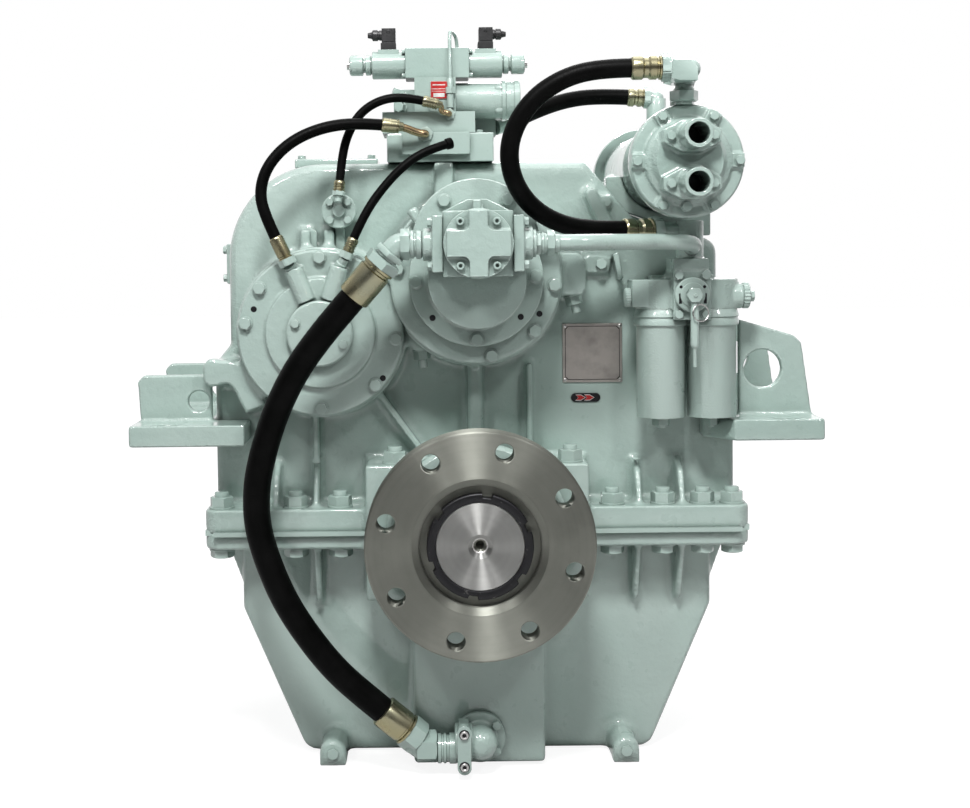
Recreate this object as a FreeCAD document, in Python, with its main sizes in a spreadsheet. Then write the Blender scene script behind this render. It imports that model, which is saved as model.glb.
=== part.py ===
import FreeCAD, Part
import math
import os
import Sketcher
from FreeCAD import Placement, Rotation, Vector

# Marine reversing gearbox seen from its output end.
# The origin is the centre of the output flange's mating face. +Z is up, +Y runs into the box from that
# face towards the engine, and +X is to the right of someone who looks at the flange.

doc = FreeCAD.newDocument("marine_gearbox")

# Driving sizes in millimetres, degrees and counts
SIZES = {
    # gear train
    "shaft_centres": 355.0,
    "output_module": 10.0,
    "output_teeth": 53,
    "transfer_module": 6.0,
    "transfer_teeth": 38,
    "output_gear_width": 84.0,
    "output_gear_start": 382.0,
    "transfer_gear_width": 42.0,
    "transfer_gear_start": 208.0,
    "clutch_radius": 104.0,
    "clutch_length": 104.0,
    "pump_gear_module": 2.0,
    "pump_gear_teeth": 16,
    "gear_thinning": 0.07,
    "running_clearance": 0.05,
    # output flange and shaft end
    "flange_diameter": 310.0,
    "flange_thickness": 36.0,
    "flange_bolt_circle": 260.0,
    "flange_hole_diameter": 25.0,
    "flange_hole_count": 8,
    "flange_hub_radius": 88.0,
    "flange_hub_end": 84.0,
    "recess_radius": 91.6,
    "recess_floor_radius": 82.0,
    "recess_depth": 18.0,
    "recess_chamfer": 7.0,
    "lock_nut_radius": 71.3,
    "lock_nut_front": 3.0,
    "lock_nut_notch_width": 13.0,
    "lock_nut_notch_depth": 5.0,
    "shaft_end_radius": 58.0,
    "shaft_end_depth": 6.0,
    "shaft_centre_hole": 6.0,
    "shaft_centre_cone": 16.5,
    "output_journal_radius": 60.0,
    "output_bearing_radius": 104.0,
    # casings
    "casing_front": 175.0,
    "casing_back": 520.0,
    "wall": 14.0,
    "upper_half_width": 376.0,
    "lower_half_width": 340.0,
    "foot_shoulder": 235.0,
    "hump_half_width": 353.0,
    "casing_top": 521.0,
    "hump_corner": 136.0,
    "lower_side_depth": 122.0,
    "sump_half_width": 250.0,
    "sump_depth": 333.0,
    "sump_corner": 24.0,
    "joint_half_width": 385.0,
    "joint_front": 110.0,
    "joint_back": 558.0,
    "joint_thickness": 33.0,
    "joint_lower_thickness": 24.0,
    "joint_corner": 24.0,
    "bearing_block_half_width": 157.0,
    "bearing_block_height": 95.5,
    "bearing_block_front": 100.0,
    "rear_boss_back": 558.0,
    "sump_column_half_width": 93.0,
    "rib_thickness": 9.0,
    "upper_edge_round": 16.0,
    "lower_edge_round": 8.0,
    "lug_front": 114.0,
    "column_rib_radius": 11.0,
    "column_rib_height": 34.0,
    "hook_front": 120.0,
    "hook_thickness": 28.0,
    "lug_drop": 2.0,
    "lug_width": 38.0,
    # joint fasteners
    "joint_bolt_radius": 10.0,
    "joint_bolt_flats": 30.0,
    "joint_head_height": 13.0,
    "joint_nut_height": 17.0,
    "joint_stud_tip": 6.0,
    "bolt_hole_clearance": 0.5,
    "block_stud_height": 18.0,
    # mounting feet
    "foot_reach": 486.0,
    "foot_top": 154.0,
    "foot_bottom": 124.0,
    "foot_front": 100.0,
    "foot_back": 428.0,
    "foot_plate": 14.0,
    "foot_lap_end": 324.0,
    "foot_lap_corner": 360.0,
    "foot_plate_front": 150.0,
    "foot_plate_back": 364.0,
    "foot_hole_radius": 12.0,
    "foot_hole_reach": 436.0,
    "foot_hole_front": 126.0,
    "foot_hole_pitch": 276.0,
    # counter shaft cover
    "cover_radius": 116.0,
    "cover_front": 100.0,
    "cover_thickness": 18.0,
    "cover_ring_radius": 76.5,
    "cover_ring_depth": 8.0,
    "cap_radius": 46.0,
    "cap_thickness": 13.0,
    "oil_boss_radius": 13.0,
    "oil_boss_reach": 96.0,
    # input shaft end cover with the pump drive
    "retainer_radius": 118.0,
    "retainer_thickness": 20.0,
    "adaptor_radius": 92.0,
    "adaptor_thickness": 20.0,
    "adaptor_housing_radius": 66.0,
    "adaptor_housing_length": 40.0,
    "adaptor_lobe_rise": 50.0,
    "adaptor_face": 20.0,
    # pump
    "pump_half_width": 46.0,
    "pump_half_height": 43.0,
    "pump_body_length": 46.0,
    "pump_cover_length": 30.0,
    "pump_cover_radius": 45.5,
    "pump_cross_half": 12.0,
    "pump_arm_half": 17.0,
    "pump_cross_height": 9.0,
    "pump_port_plate": 14.0,
    "pump_port_radius": 22.0,
    "pump_gear_length": 34.0,
    # bearings
    "small_journal_radius": 35.0,
    "small_bearing_radius": 62.0,
    "small_bearing_width": 36.0,
    "pinion_bore_radius": 42.0,
    # filter
    "filter_spacing": 71.6,
    "filter_bowl_radius": 34.0,
    "filter_bowl_bottom": 158.0,
    "filter_bowl_top": 293.0,
    "filter_wall": 3.0,
    "filter_depth": 122.0,
    "filter_head_top": 351.0,
    "filter_head_bottom": 309.0,
    "filter_head_front": 86.0,
    "filter_centre": 296.0,
    "filter_riser_radius": 19.0,
    "filter_plate_radius": 24.0,
    "filter_plate_front": 68.0,
    "lever_axis_height": 330.0,
    "lever_length": 98.0,
    # cooler
    "cooler_centre": 281.0,
    "cooler_height": 509.5,
    "cooler_radius": 62.0,
    "cooler_head_radius": 76.0,
    "cooler_front": 0.0,
    "cooler_head_length": 34.0,
    "cooler_back": 480.0,
    "cooler_wall": 5.0,
    "head_pad_rise": 5.0,
    "head_pad_depth": 18.0,
    "water_port_bore": 13.5,
    "water_port_radius": 19.0,
    "water_port_front": -60.0,
    "water_port_rise": 31.0,
    # valves
    "manifold_left": -130.0,
    "manifold_right": 36.0,
    "manifold_front": 150.0,
    "manifold_back": 262.0,
    "manifold_height": 41.0,
    "spacer_height": 30.0,
    "control_height": 50.0,
    "valve_height": 43.0,
    "valve_centre_depth": 202.0,
    "valve_left": -95.0,
    "valve_right": -3.0,
    "solenoid_radius": 20.0,
    "solenoid_length": 48.0,
    "spool_radius": 6.0,
    "spool_tip": 3.5,
    # hoses
    "suction_hose_radius": 18.5,
    "loop_hose_radius": 12.6,
    "rear_hose_radius": 12.0,
    "long_hose_radius": 8.0,
    "thin_hose_radius": 6.2,
    "delivery_pipe_radius": 11.0,
    # cover fasteners
    "cover_bolt_flats": 18.0,
    "cover_bolt_head": 8.0,
    "small_bolt_flats": 13.0,
    "small_bolt_head": 6.0,
    "plate_thickness": 2.0,
}

sheet = doc.addObject("Spreadsheet::Sheet", "sizes")
for row, (alias, amount) in enumerate(SIZES.items(), start=1):
    sheet.set("A%d" % row, alias)
    sheet.set("B%d" % row, "%g" % amount)
    sheet.setAlias("B%d" % row, alias)
doc.recompute()


class Dim:
    """A size: its value now, and the formula on the sheet that gives it."""

    def __init__(self, value, text):
        self.value = float(value)
        self.text = text

    def __float__(self):
        return self.value

    def __add__(self, other):
        other = as_dim(other)
        return Dim(self.value + other.value, "(%s + %s)" % (self.text, other.text))

    def __sub__(self, other):
        other = as_dim(other)
        return Dim(self.value - other.value, "(%s - %s)" % (self.text, other.text))

    def __mul__(self, other):
        other = as_dim(other)
        return Dim(self.value * other.value, "(%s * %s)" % (self.text, other.text))

    def __truediv__(self, other):
        other = as_dim(other)
        return Dim(self.value / other.value, "(%s / %s)" % (self.text, other.text))

    def __neg__(self):
        return Dim(-self.value, "(0 - %s)" % self.text)

    def __radd__(self, other):
        return as_dim(other) + self

    def __rsub__(self, other):
        return as_dim(other) - self

    def __rmul__(self, other):
        return as_dim(other) * self


def as_dim(amount):
    if isinstance(amount, Dim):
        return amount
    return Dim(amount, "(%.9g)" % amount)


def root(amount):
    return Dim(math.sqrt(amount.value), "sqrt(%s)" % amount.text)


def size(alias):
    return Dim(sheet.get(alias), "sizes." + alias)


def number(amount):
    return float(amount)


def bind(item, prop, amount):
    """Set a property of an object, by formula where the amount comes from the sheet."""
    if isinstance(amount, Dim):
        item.setExpression(prop, amount.text)
    else:
        setattr(item, prop, amount)


ALONG_X = (1, 0, 0)
ALONG_Y = (0, 1, 0)
ALONG_Z = (0, 0, 1)


def place(item, at, axis=ALONG_Z):
    turn = Rotation(Vector(0, 0, 1), Vector(*[number(part) for part in axis]))
    item.Placement = Placement(Vector(*[number(part) for part in at]), turn)
    for letter, part in zip("xyz", at):
        if isinstance(part, Dim):
            item.setExpression("Placement.Base." + letter, part.text)
    return item


def cylinder(radius, length, at, axis=ALONG_Y, name="cylinder"):
    item = doc.addObject("Part::Cylinder", name)
    bind(item, "Radius", radius)
    bind(item, "Height", length)
    return place(item, at, axis)


def block(low, high, name="block"):
    """A box between two corners."""
    item = doc.addObject("Part::Box", name)
    for prop, start, end in zip(("Length", "Width", "Height"), low, high):
        bind(item, prop, as_dim(end) - start)
    return place(item, low)


def hexagon(flats, length, at, axis=ALONG_Y, name="hexagon"):
    """A six-sided prism of a given width across flats."""
    item = doc.addObject("Part::Prism", name)
    item.Polygon = 6
    bind(item, "Circumradius", as_dim(flats) / math.sqrt(3))
    bind(item, "Height", length)
    return place(item, at, axis)


def fused(items, name="fused"):
    item = doc.addObject("Part::MultiFuse", name)
    item.Shapes = items
    item.Refine = True
    return item


def cut(base, tool, name="cut"):
    item = doc.addObject("Part::Cut", name)
    item.Base = base
    item.Tool = tool
    item.Refine = True
    return item


def group(items, name="group"):
    item = doc.addObject("Part::Compound", name)
    item.Links = items
    return item


def shaped(shape, name="shaped"):
    """An object whose shape this file works out from the sheet's sizes."""
    item = doc.addObject("Part::Feature", name)
    item.Shape = shape
    return item


NODES = {}


def node(name, item):
    item.Label = name
    NODES[name] = item
    return item


def plane_of(body, role):
    for feature in body.Origin.OriginFeatures:
        if feature.Role == role:
            return feature


def outline_sketch(body, role, points, name):
    """A closed outline of straight lines, each corner held by two distances from the origin."""
    sketch = body.newObject("Sketcher::SketchObject", name)
    sketch.AttachmentSupport = [(plane_of(body, role), "")]
    sketch.MapMode = "FlatFace"
    corners = [Vector(number(across), number(up), 0) for across, up in points]
    for index, corner in enumerate(corners):
        following = corners[(index + 1) % len(corners)]
        sketch.addGeometry(Part.LineSegment(corner, following), False)
    for index in range(len(corners)):
        sketch.addConstraint(Sketcher.Constraint("Coincident", index, 2, (index + 1) % len(corners), 1))
    for index, (across, up) in enumerate(points):
        for kind, amount in (("DistanceX", across), ("DistanceY", up)):
            place_of = sketch.addConstraint(Sketcher.Constraint(kind, -1, 1, index, 1, number(amount)))
            if isinstance(amount, Dim):
                sketch.setExpression("Constraints[%d]" % place_of, amount.text)
    return sketch


def revolved(name, points, centre=(0, 0)):
    """A turned piece: points are radius and depth, turned about the line along Y through centre."""
    body = doc.addObject("PartDesign::Body", name)
    sketch = outline_sketch(body, "XY_Plane", points, name + "_profile")
    turned = body.newObject("PartDesign::Revolution", name + "_turned")
    turned.Profile = sketch
    turned.ReferenceAxis = (sketch, ["V_Axis"])
    turned.Angle = 360
    body.Tip = turned
    place(body, (centre[0], 0, centre[1]))
    return body


def plate(name, points, start, length):
    """A plate or block: points are X and Z, and it runs from start along +Y."""
    body = doc.addObject("PartDesign::Body", name)
    sketch = outline_sketch(body, "XZ_Plane", points, name + "_outline")
    pad = body.newObject("PartDesign::Pad", name + "_pad")
    pad.Profile = sketch
    pad.Reversed = True
    bind(pad, "Length", length)
    body.Tip = pad
    place(body, (0, start, 0))
    return body


def rounded(body, corners, radius):
    """Round the edges of a padded body that run along Y through the given X and Z corners."""
    doc.recompute()
    base = body.Tip
    names = []
    for index, edge in enumerate(base.Shape.Edges, start=1):
        ends = [vertex.Point for vertex in edge.Vertexes]
        along = len(ends) == 2 and abs(ends[0].x - ends[1].x) < 1e-6 and abs(ends[0].z - ends[1].z) < 1e-6
        near = [
            c for c in corners if abs(number(c[0]) - ends[0].x) < 0.01 and abs(
                number(c[1]) - ends[0].z
            ) < 0.01
        ]
        if along and near:
            names.append("Edge%d" % index)
    fillet = body.newObject("PartDesign::Fillet", body.Name + "_round")
    fillet.Base = (base, names)
    bind(fillet, "Radius", radius)
    body.Tip = fillet
    return body


def ends_rounded(body, length, radius, above):
    """Round the edges of a padded body that lie in its two end faces, from a height up."""
    doc.recompute()
    base = body.Tip
    names = []
    for index, edge in enumerate(base.Shape.Edges, start=1):
        depths = [vertex.Point.y for vertex in edge.Vertexes] + [edge.CenterOfMass.y]
        in_face = any(all(abs(depth - face) < 1e-6 for depth in depths) for face in (0, number(length)))
        if in_face and edge.CenterOfMass.z > above:
            names.append("Edge%d" % index)
    fillet = body.newObject("PartDesign::Fillet", body.Name + "_edge")
    fillet.Base = (base, names)
    bind(fillet, "Radius", radius)
    body.Tip = fillet
    return body


def rod(start, end, radius, sides=0):
    """A round bar, or a six-sided one, between two points."""
    first = Vector(*[number(part) for part in start])
    last = Vector(*[number(part) for part in end])
    direction = last - first
    if sides:
        return hexagon(radius, direction.Length, tuple(first), tuple(direction))
    return cylinder(radius, direction.Length, tuple(first), tuple(direction))


# Shaft places
CENTRES = size("shaft_centres")
TRANSFER = size("transfer_module") * size("transfer_teeth")
INPUT_X = as_dim(0)
INPUT_Z = CENTRES
COUNTER_Z = CENTRES - TRANSFER * TRANSFER / (CENTRES * 2)
COUNTER_X = -root(CENTRES * CENTRES - COUNTER_Z * COUNTER_Z)
OUTPUT_RADIUS = size("output_module") * size("output_teeth") / 2
PINION_RADIUS = CENTRES - OUTPUT_RADIUS
PINION_TEETH = int(round(number(PINION_RADIUS) * 2 / number(size("output_module"))))
PUMP_STEP = size("pump_gear_module") * size("pump_gear_teeth")
PUMP_DRIVE_Z = INPUT_Z + PUMP_STEP
PUMP_IDLER_Z = PUMP_DRIVE_Z + PUMP_STEP
PUMP_Z = PUMP_DRIVE_Z + PUMP_STEP / 2

PRESSURE_ANGLE = math.radians(20)


def involute(angle):
    return math.tan(angle) - angle


def tooth_wheel(module, teeth, phase, centre, start, width, bore):
    """A spur gear along Y. phase is the angle, from +X towards +Z, of the middle of one tooth."""
    pitch_radius = module * teeth / 2
    base_radius = pitch_radius * math.cos(PRESSURE_ANGLE)
    tip_radius = pitch_radius + module
    foot_radius = pitch_radius - 1.25 * module
    half_tooth = math.pi / (2 * teeth) - number(size("gear_thinning")) * module / (2 * pitch_radius)

    def half_angle(radius):
        angle = math.acos(min(1.0, base_radius / radius))
        return half_tooth + involute(PRESSURE_ANGLE) - involute(angle)

    flank = [(tip_radius, half_angle(tip_radius))]
    if foot_radius < base_radius * 0.97:
        flank.append((base_radius, half_angle(base_radius)))
    flank.append((foot_radius, half_angle(max(base_radius, foot_radius))))
    centre_x, centre_z = [number(part) for part in centre]
    points = []
    for index in range(teeth):
        middle = phase + index * 2 * math.pi / teeth
        for radius, angle in reversed(flank):
            points.append((radius, middle - angle))
        for radius, angle in flank:
            points.append((radius, middle + angle))
    ring = [Vector(centre_x + r * math.cos(a), start, centre_z + r * math.sin(a)) for r, a in points]
    wheel = Part.Face(Part.makePolygon(ring + ring[:1])).extrude(Vector(0, width, 0))
    hole = Part.makeCylinder(bore, width, Vector(centre_x, start, centre_z), Vector(0, 1, 0))
    return wheel.cut(hole)


def mating_phase(teeth_a, phase_a, teeth_b, direction):
    """The tooth angle of wheel b so that it meshes with wheel a, b lying in the given direction from a."""
    return direction + math.pi + (math.pi - teeth_a * (phase_a - direction)) / teeth_b


UP = math.pi / 2
TO_COUNTER = math.atan2(number(COUNTER_Z), number(COUNTER_X))
INPUT_TO_COUNTER = math.atan2(number(COUNTER_Z) - number(INPUT_Z), number(COUNTER_X))

OIL_BOSS_LEANS = (-22, 17)
COVER_BOLTS = []
SMALL_BOLTS = []


def cover_bolt(at, axis=(0, -1, 0)):
    COVER_BOLTS.append((at, axis))


def small_bolt(at, axis=(0, -1, 0)):
    SMALL_BOLTS.append((at, axis))


def around(centre, radius, count, first=0.0):
    """Places on a circle in the XZ plane, angles from +X towards +Z in degrees."""
    places = []
    for index in range(count):
        angle = math.radians(first + index * 360.0 / count)
        places.append((centre[0] + radius * math.cos(angle), centre[1] + radius * math.sin(angle)))
    return places


def ring_profile(inner, outer, start, end):
    return [(inner, start), (outer, start), (outer, end), (inner, end)]


# Casing outlines
WALL = size("wall")
TOP = size("casing_top")
UPPER_HALF = size("upper_half_width")
HUMP_HALF = size("hump_half_width")
SHOULDER = size("foot_shoulder")


def upper_outline(inset):
    """The upper casing's section, from the joint plane up, drawn inwards by inset."""
    side = UPPER_HALF - inset
    hump = HUMP_HALF - inset
    top = TOP - inset
    return [
        (-side, 0),
        (-side, SHOULDER - inset),
        (-hump, SHOULDER + 27 - inset),
        (-hump, top),
        (162 - as_dim(inset) * 0.4, top),
        (236 - as_dim(inset) * 0.6, TOP - 88 - inset),
        (hump - 1, TOP - 117 - inset),
        (hump - 1, SHOULDER + 81),
        (side, SHOULDER + 55),
        (side, 0),
    ]


def lower_outline(inset):
    side = size("lower_half_width") - inset
    sump = size("sump_half_width") - as_dim(inset) * 0.7
    floor = -(size("sump_depth") - inset)
    knee = -size("lower_side_depth")
    return [(-side, knee), (-sump, floor), (sump, floor), (side, knee), (side, 0), (-side, 0)]


FRONT = size("casing_front")
BACK = size("casing_back")
JOINT_X = size("joint_half_width")
JOINT_Y = size("joint_front")
JOINT_END = size("joint_back")
JOINT_T = size("joint_thickness")
JOINT_LOW = size("joint_lower_thickness")
BLOCK_X = size("bearing_block_half_width")
BLOCK_Z = size("bearing_block_height")
BLOCK_Y = size("bearing_block_front")
BOSS_END = size("rear_boss_back")
RIB = size("rib_thickness")
OUTPUT_BORE = size("output_bearing_radius") + size("running_clearance")
SMALL_BORE = size("small_bearing_radius") + size("running_clearance")
REAR_BOSS_START = BACK - 40
BACK_BEARING_START = REAR_BOSS_START + 6
BACK_BEARING_END = BACK_BEARING_START + size("small_bearing_width")
COVER_Y = size("cover_front")
COVER_SEAT = COVER_Y + size("cover_thickness")
RETAINER_SEAT = size("adaptor_face") + size("adaptor_housing_length") + size("adaptor_thickness")
INPUT_SEAT = RETAINER_SEAT + size("retainer_thickness")

JOINT_BOLT_PLACES = [
    (-362, 134), (-257, 134), (-194, 134), (192, 134), (264, 134), (320, 134), (362, 134),
    (-320, 539), (-190, 539), (190, 539), (320, 539),
]
RIB_TOPS = (-285, -228, 230, 291)
RIB_FEET = (-227, 228, 290)
REAR_RIBS = (-255, 255)


def joint_plate(low, high):
    """The bolting flange of one casing half, its upright corners rounded."""
    item = block((-JOINT_X, JOINT_Y, low), (JOINT_X, JOINT_END, high))
    doc.recompute()
    names = []
    for index, edge in enumerate(item.Shape.Edges, start=1):
        ends = [vertex.Point for vertex in edge.Vertexes]
        if abs(ends[0].z - ends[1].z) > 1:
            names.append((index, number(size("joint_corner")), number(size("joint_corner"))))
    fillet = doc.addObject("Part::Fillet", "joint_plate")
    fillet.Base = item
    fillet.Edges = names
    return fillet


def bore(centre, radius, start, end):
    return cylinder(radius, as_dim(end) - start, (centre[0], start, centre[1]))


def joint_holes(low, high):
    radius = size("joint_bolt_radius") + size("bolt_hole_clearance")
    return [
        cylinder(radius, as_dim(high) - low, (across, depth, low), ALONG_Z)
        for across, depth in JOINT_BOLT_PLACES
    ]


def wedge(points, start, thickness):
    """A thin rib. points are depth and height, and it is as thick along X as said."""
    corners = [Vector(number(start), number(depth), number(height)) for depth, height in points]
    face = Part.Face(Part.makePolygon(corners + corners[:1]))
    return shaped(face.extrude(Vector(number(thickness), 0, 0)), "rib")


def upper_casing():
    shell = plate("upper_shell", upper_outline(0), FRONT, BACK - FRONT)
    rounded(shell, [(-HUMP_HALF, TOP)], size("hump_corner"))
    rounded(shell, [(HUMP_HALF - 1, TOP - 117)], 22)
    ends_rounded(shell, BACK - FRONT, size("upper_edge_round"), 10)
    inside = plate("upper_room", upper_outline(WALL), FRONT + WALL, BACK - FRONT - WALL * 2)
    rounded(inside, [(-(HUMP_HALF - WALL), TOP - WALL)], size("hump_corner") - WALL)
    parts = [shell, joint_plate(0, JOINT_T)]
    parts.append(block((-BLOCK_X, BLOCK_Y, 0), (BLOCK_X, FRONT + WALL, BLOCK_Z)))
    parts.append(cylinder(120, FRONT + WALL - COVER_SEAT, (COUNTER_X, COVER_SEAT, COUNTER_Z)))
    parts.append(cylinder(122, FRONT + WALL - INPUT_SEAT, (INPUT_X, INPUT_SEAT, INPUT_Z)))
    for across in RIB_TOPS:
        outline = [(JOINT_Y + 14, JOINT_T), (FRONT, JOINT_T), (FRONT, 95), (JOINT_Y + 34, 78)]
        parts.append(wedge(outline, across - number(RIB) / 2, RIB))
    for across in REAR_RIBS:
        outline = [(JOINT_END - 12, JOINT_T), (BACK, JOINT_T), (BACK, 95), (JOINT_END - 26, 70)]
        parts.append(wedge(outline, across - number(RIB) / 2, RIB))
    parts.append(block((-8, BACK - 4, 125), (8, BACK + 22, INPUT_Z - 80)))
    shell_ribs = [((-228, 96), (-228, 168)), ((-140, 195), (-72, 100)), ((78, 62), (78, 232))]
    for (x_a, z_a), (x_b, z_b) in shell_ribs:
        parts.append(rib_on_wall((x_a, z_a), (x_b, z_b), 9, 26))
    column = size("column_rib_radius")
    column_line = FRONT - size("column_rib_height") + column
    parts.append(cylinder(column, 150, (0, column_line, 90), ALONG_Z))
    parts.append(block((0 - column, column_line, 90), (column, FRONT + 4, 240)))
    for across in (-240, -206):
        parts.append(rib_on_wall((across, 394), (across, 426), 15, 22))
    for across in (-50, -34):
        parts.append(rib_on_wall((across, 470), (across, 519), 11, 30))
    parts += wall_lugs() + hook_arm()
    solid = fused(parts, "upper_solid")
    rooms = [inside]
    rooms += [bore((0, 0), OUTPUT_BORE, BLOCK_Y, FRONT + WALL)]
    rooms += [bore((0, 0), OUTPUT_BORE, BACK - WALL - 1, BACK + 60)]
    for centre, seat in (((COUNTER_X, COUNTER_Z), COVER_SEAT), ((INPUT_X, INPUT_Z), INPUT_SEAT)):
        rooms.append(bore(centre, SMALL_BORE, seat, FRONT + WALL))
        rooms.append(bore(centre, SMALL_BORE, REAR_BOSS_START, BOSS_END))
    rooms.append(bore((COUNTER_X, COUNTER_Z), size("cover_radius") + 0.5, INPUT_SEAT - 1, COVER_SEAT))
    rooms += joint_holes(0, JOINT_T)
    hollow = cut(solid, fused(rooms, "upper_rooms"), "upper_hollow")
    bosses = []
    for centre in ((COUNTER_X, COUNTER_Z), (INPUT_X, INPUT_Z)):
        bosses.append(ring_boss(centre, 88, SMALL_BORE))
    bosses.append(half_boss(1))
    return node("upper_casing", fused([hollow] + bosses, "upper_casing"))


def wall_lugs():
    """Lugs on the front wall for the adjusting studs, the slanted boss and the web between the covers."""
    lugs = []
    start = size("lug_front")
    for name, points in (
        ("left_lug", [(-96, 264), (-86, 254), (-68, 254), (-60, 264), (-60, 300), (-96, 300)]),
        ("right_lug", [(116, 329), (150, 329), (156, 340), (156, 378), (146, 389), (116, 389)]),
        ("cover_web", [(-120, 352), (-112, 356), (-78, 268), (-86, 262)]),
        ("slanted_boss", [(158, 474), (164, 480), (174, 480), (199, 434), (194, 424), (180, 424)]),
    ):
        front = start if name.endswith("lug") else start + 40
        lugs.append(plate(name, points, front, FRONT + 4 - front))
    lugs.append(cylinder(9, 18, (189, FRONT - 14, 462)))
    return lugs


def hook_arm():
    """The lifting arm on the front wall's left edge. Its tip passes in front of the foot."""
    front = size("hook_front")
    tip = -UPPER_HALF - 8
    left = -UPPER_HALF + 2
    outline = [
        (tip, 214), (tip, 236), (tip + 8, 246), (-330, 240), (-322, 232), (-296, 180), (-324, 168),
        (-342, 206), (-350, 211), (tip + 10, 205),
    ]
    arm = plate("hook_arm", outline, front, size("hook_thickness"))
    root_points = [
        (left, 207), (left, 243), (-330, 240), (-322, 232), (-296, 180), (-324, 168), (-342, 206)
    ]
    root_start = front + size("hook_thickness") - 2
    return [arm, plate("hook_root", root_points, root_start, FRONT + 4 - root_start)]


def rib_on_wall(first, last, thickness, height):
    """A cast rib on the front wall, between two X and Z points."""
    start = Vector(first[0], 0, first[1])
    end = Vector(last[0], 0, last[1])
    run = (end - start).normalize()
    side = Vector(run.z, 0, -run.x) * (thickness / 2.0)
    lift = Vector(0, number(FRONT) - height, 0)
    corners = [start + side + lift, end + side + lift, end - side + lift, start - side + lift]
    face = Part.Face(Part.makePolygon(corners + corners[:1]))
    return shaped(face.extrude(Vector(0, height + 4, 0)), "rib")


def ring_boss(centre, outer, inner):
    """A bearing seat in the back wall, open right through."""
    length = BOSS_END - REAR_BOSS_START
    solid = cylinder(outer, length, (centre[0], REAR_BOSS_START, centre[1]))
    return cut(solid, cylinder(inner, length, (centre[0], REAR_BOSS_START, centre[1])), "rear_boss")


def half_boss(side):
    """Half of the output shaft's back bearing seat: above the joint for side 1, below it for side -1."""
    length = BOSS_END - REAR_BOSS_START
    ring = cut(
        cylinder(130, length, (0, REAR_BOSS_START, 0)),
        cylinder(OUTPUT_BORE, length, (0, REAR_BOSS_START, 0)),
        "output_boss",
    )
    low = 0 if side > 0 else -140
    keep = block((-140, REAR_BOSS_START - 5, low), (140, BOSS_END + 5, low + 140))
    common = doc.addObject("Part::Common", "half_boss")
    common.Base = ring
    common.Tool = keep
    return common


def lower_casing():
    shell = plate("lower_shell", lower_outline(0), FRONT, BACK - FRONT)
    corners = [
        (-size("sump_half_width"), -size("sump_depth")), (size("sump_half_width"), -size("sump_depth"))
    ]
    rounded(shell, corners, size("sump_corner"))
    ends_rounded(shell, BACK - FRONT, size("lower_edge_round"), -1000)
    inside = plate("lower_room", lower_outline(WALL), FRONT + WALL, BACK - FRONT - WALL * 2)
    parts = [shell, joint_plate(-JOINT_LOW, 0)]
    parts.append(block((-BLOCK_X, BLOCK_Y, -BLOCK_Z), (BLOCK_X, FRONT + WALL, 0)))
    column = size("sump_column_half_width")
    parts.append(block((-column, JOINT_Y, -size("sump_depth") + 3), (column, FRONT + WALL, -BLOCK_Z + 5)))
    for across in RIB_FEET:
        outline = [(JOINT_Y + 12, -JOINT_LOW), (FRONT, -JOINT_LOW), (FRONT, -118), (JOINT_Y + 44, -104)]
        parts.append(wedge(outline, across - number(RIB) / 2, RIB))
    for across in REAR_RIBS:
        outline = [(JOINT_END - 12, -JOINT_LOW), (BACK, -JOINT_LOW), (BACK, -118), (JOINT_END - 28, -96)]
        parts.append(wedge(outline, across - number(RIB) / 2, RIB))
    lower_half = number(size("lower_half_width"))
    gusset_top = 3 - number(JOINT_LOW)
    for side in (-1, 1):
        for depth in (190, 470):
            corner_points = [
                Vector(side * (lower_half - 2), depth, gusset_top),
                Vector(side * (lower_half + 26), depth, gusset_top),
                Vector(side * (lower_half - 2), depth, -96),
            ]
            face = Part.Face(Part.makePolygon(corner_points + corner_points[:1]))
            parts.append(shaped(face.extrude(Vector(0, 12, 0)), "side_gusset"))
    half_lug = size("lug_width") / 2
    for across in (-208, 208):
        for depth in (118, 500):
            base = -size("sump_depth") - size("lug_drop")
            crown = base + half_lug
            parts.append(block((across - half_lug, depth, base), (across + half_lug, depth + 60, crown)))
            parts.append(cylinder(half_lug, 60, (across, depth, crown)))
    solid = fused(parts, "lower_solid")
    rooms = [inside]
    rooms += [bore((0, 0), OUTPUT_BORE, BLOCK_Y, FRONT + WALL)]
    rooms += [bore((0, 0), OUTPUT_BORE, BACK - WALL - 1, BACK + 60)]
    rooms += joint_holes(-JOINT_LOW, 0)
    hollow = cut(solid, fused(rooms, "lower_rooms"), "lower_hollow")
    return node("lower_casing", fused([hollow, half_boss(-1)], "lower_casing"))


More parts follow.
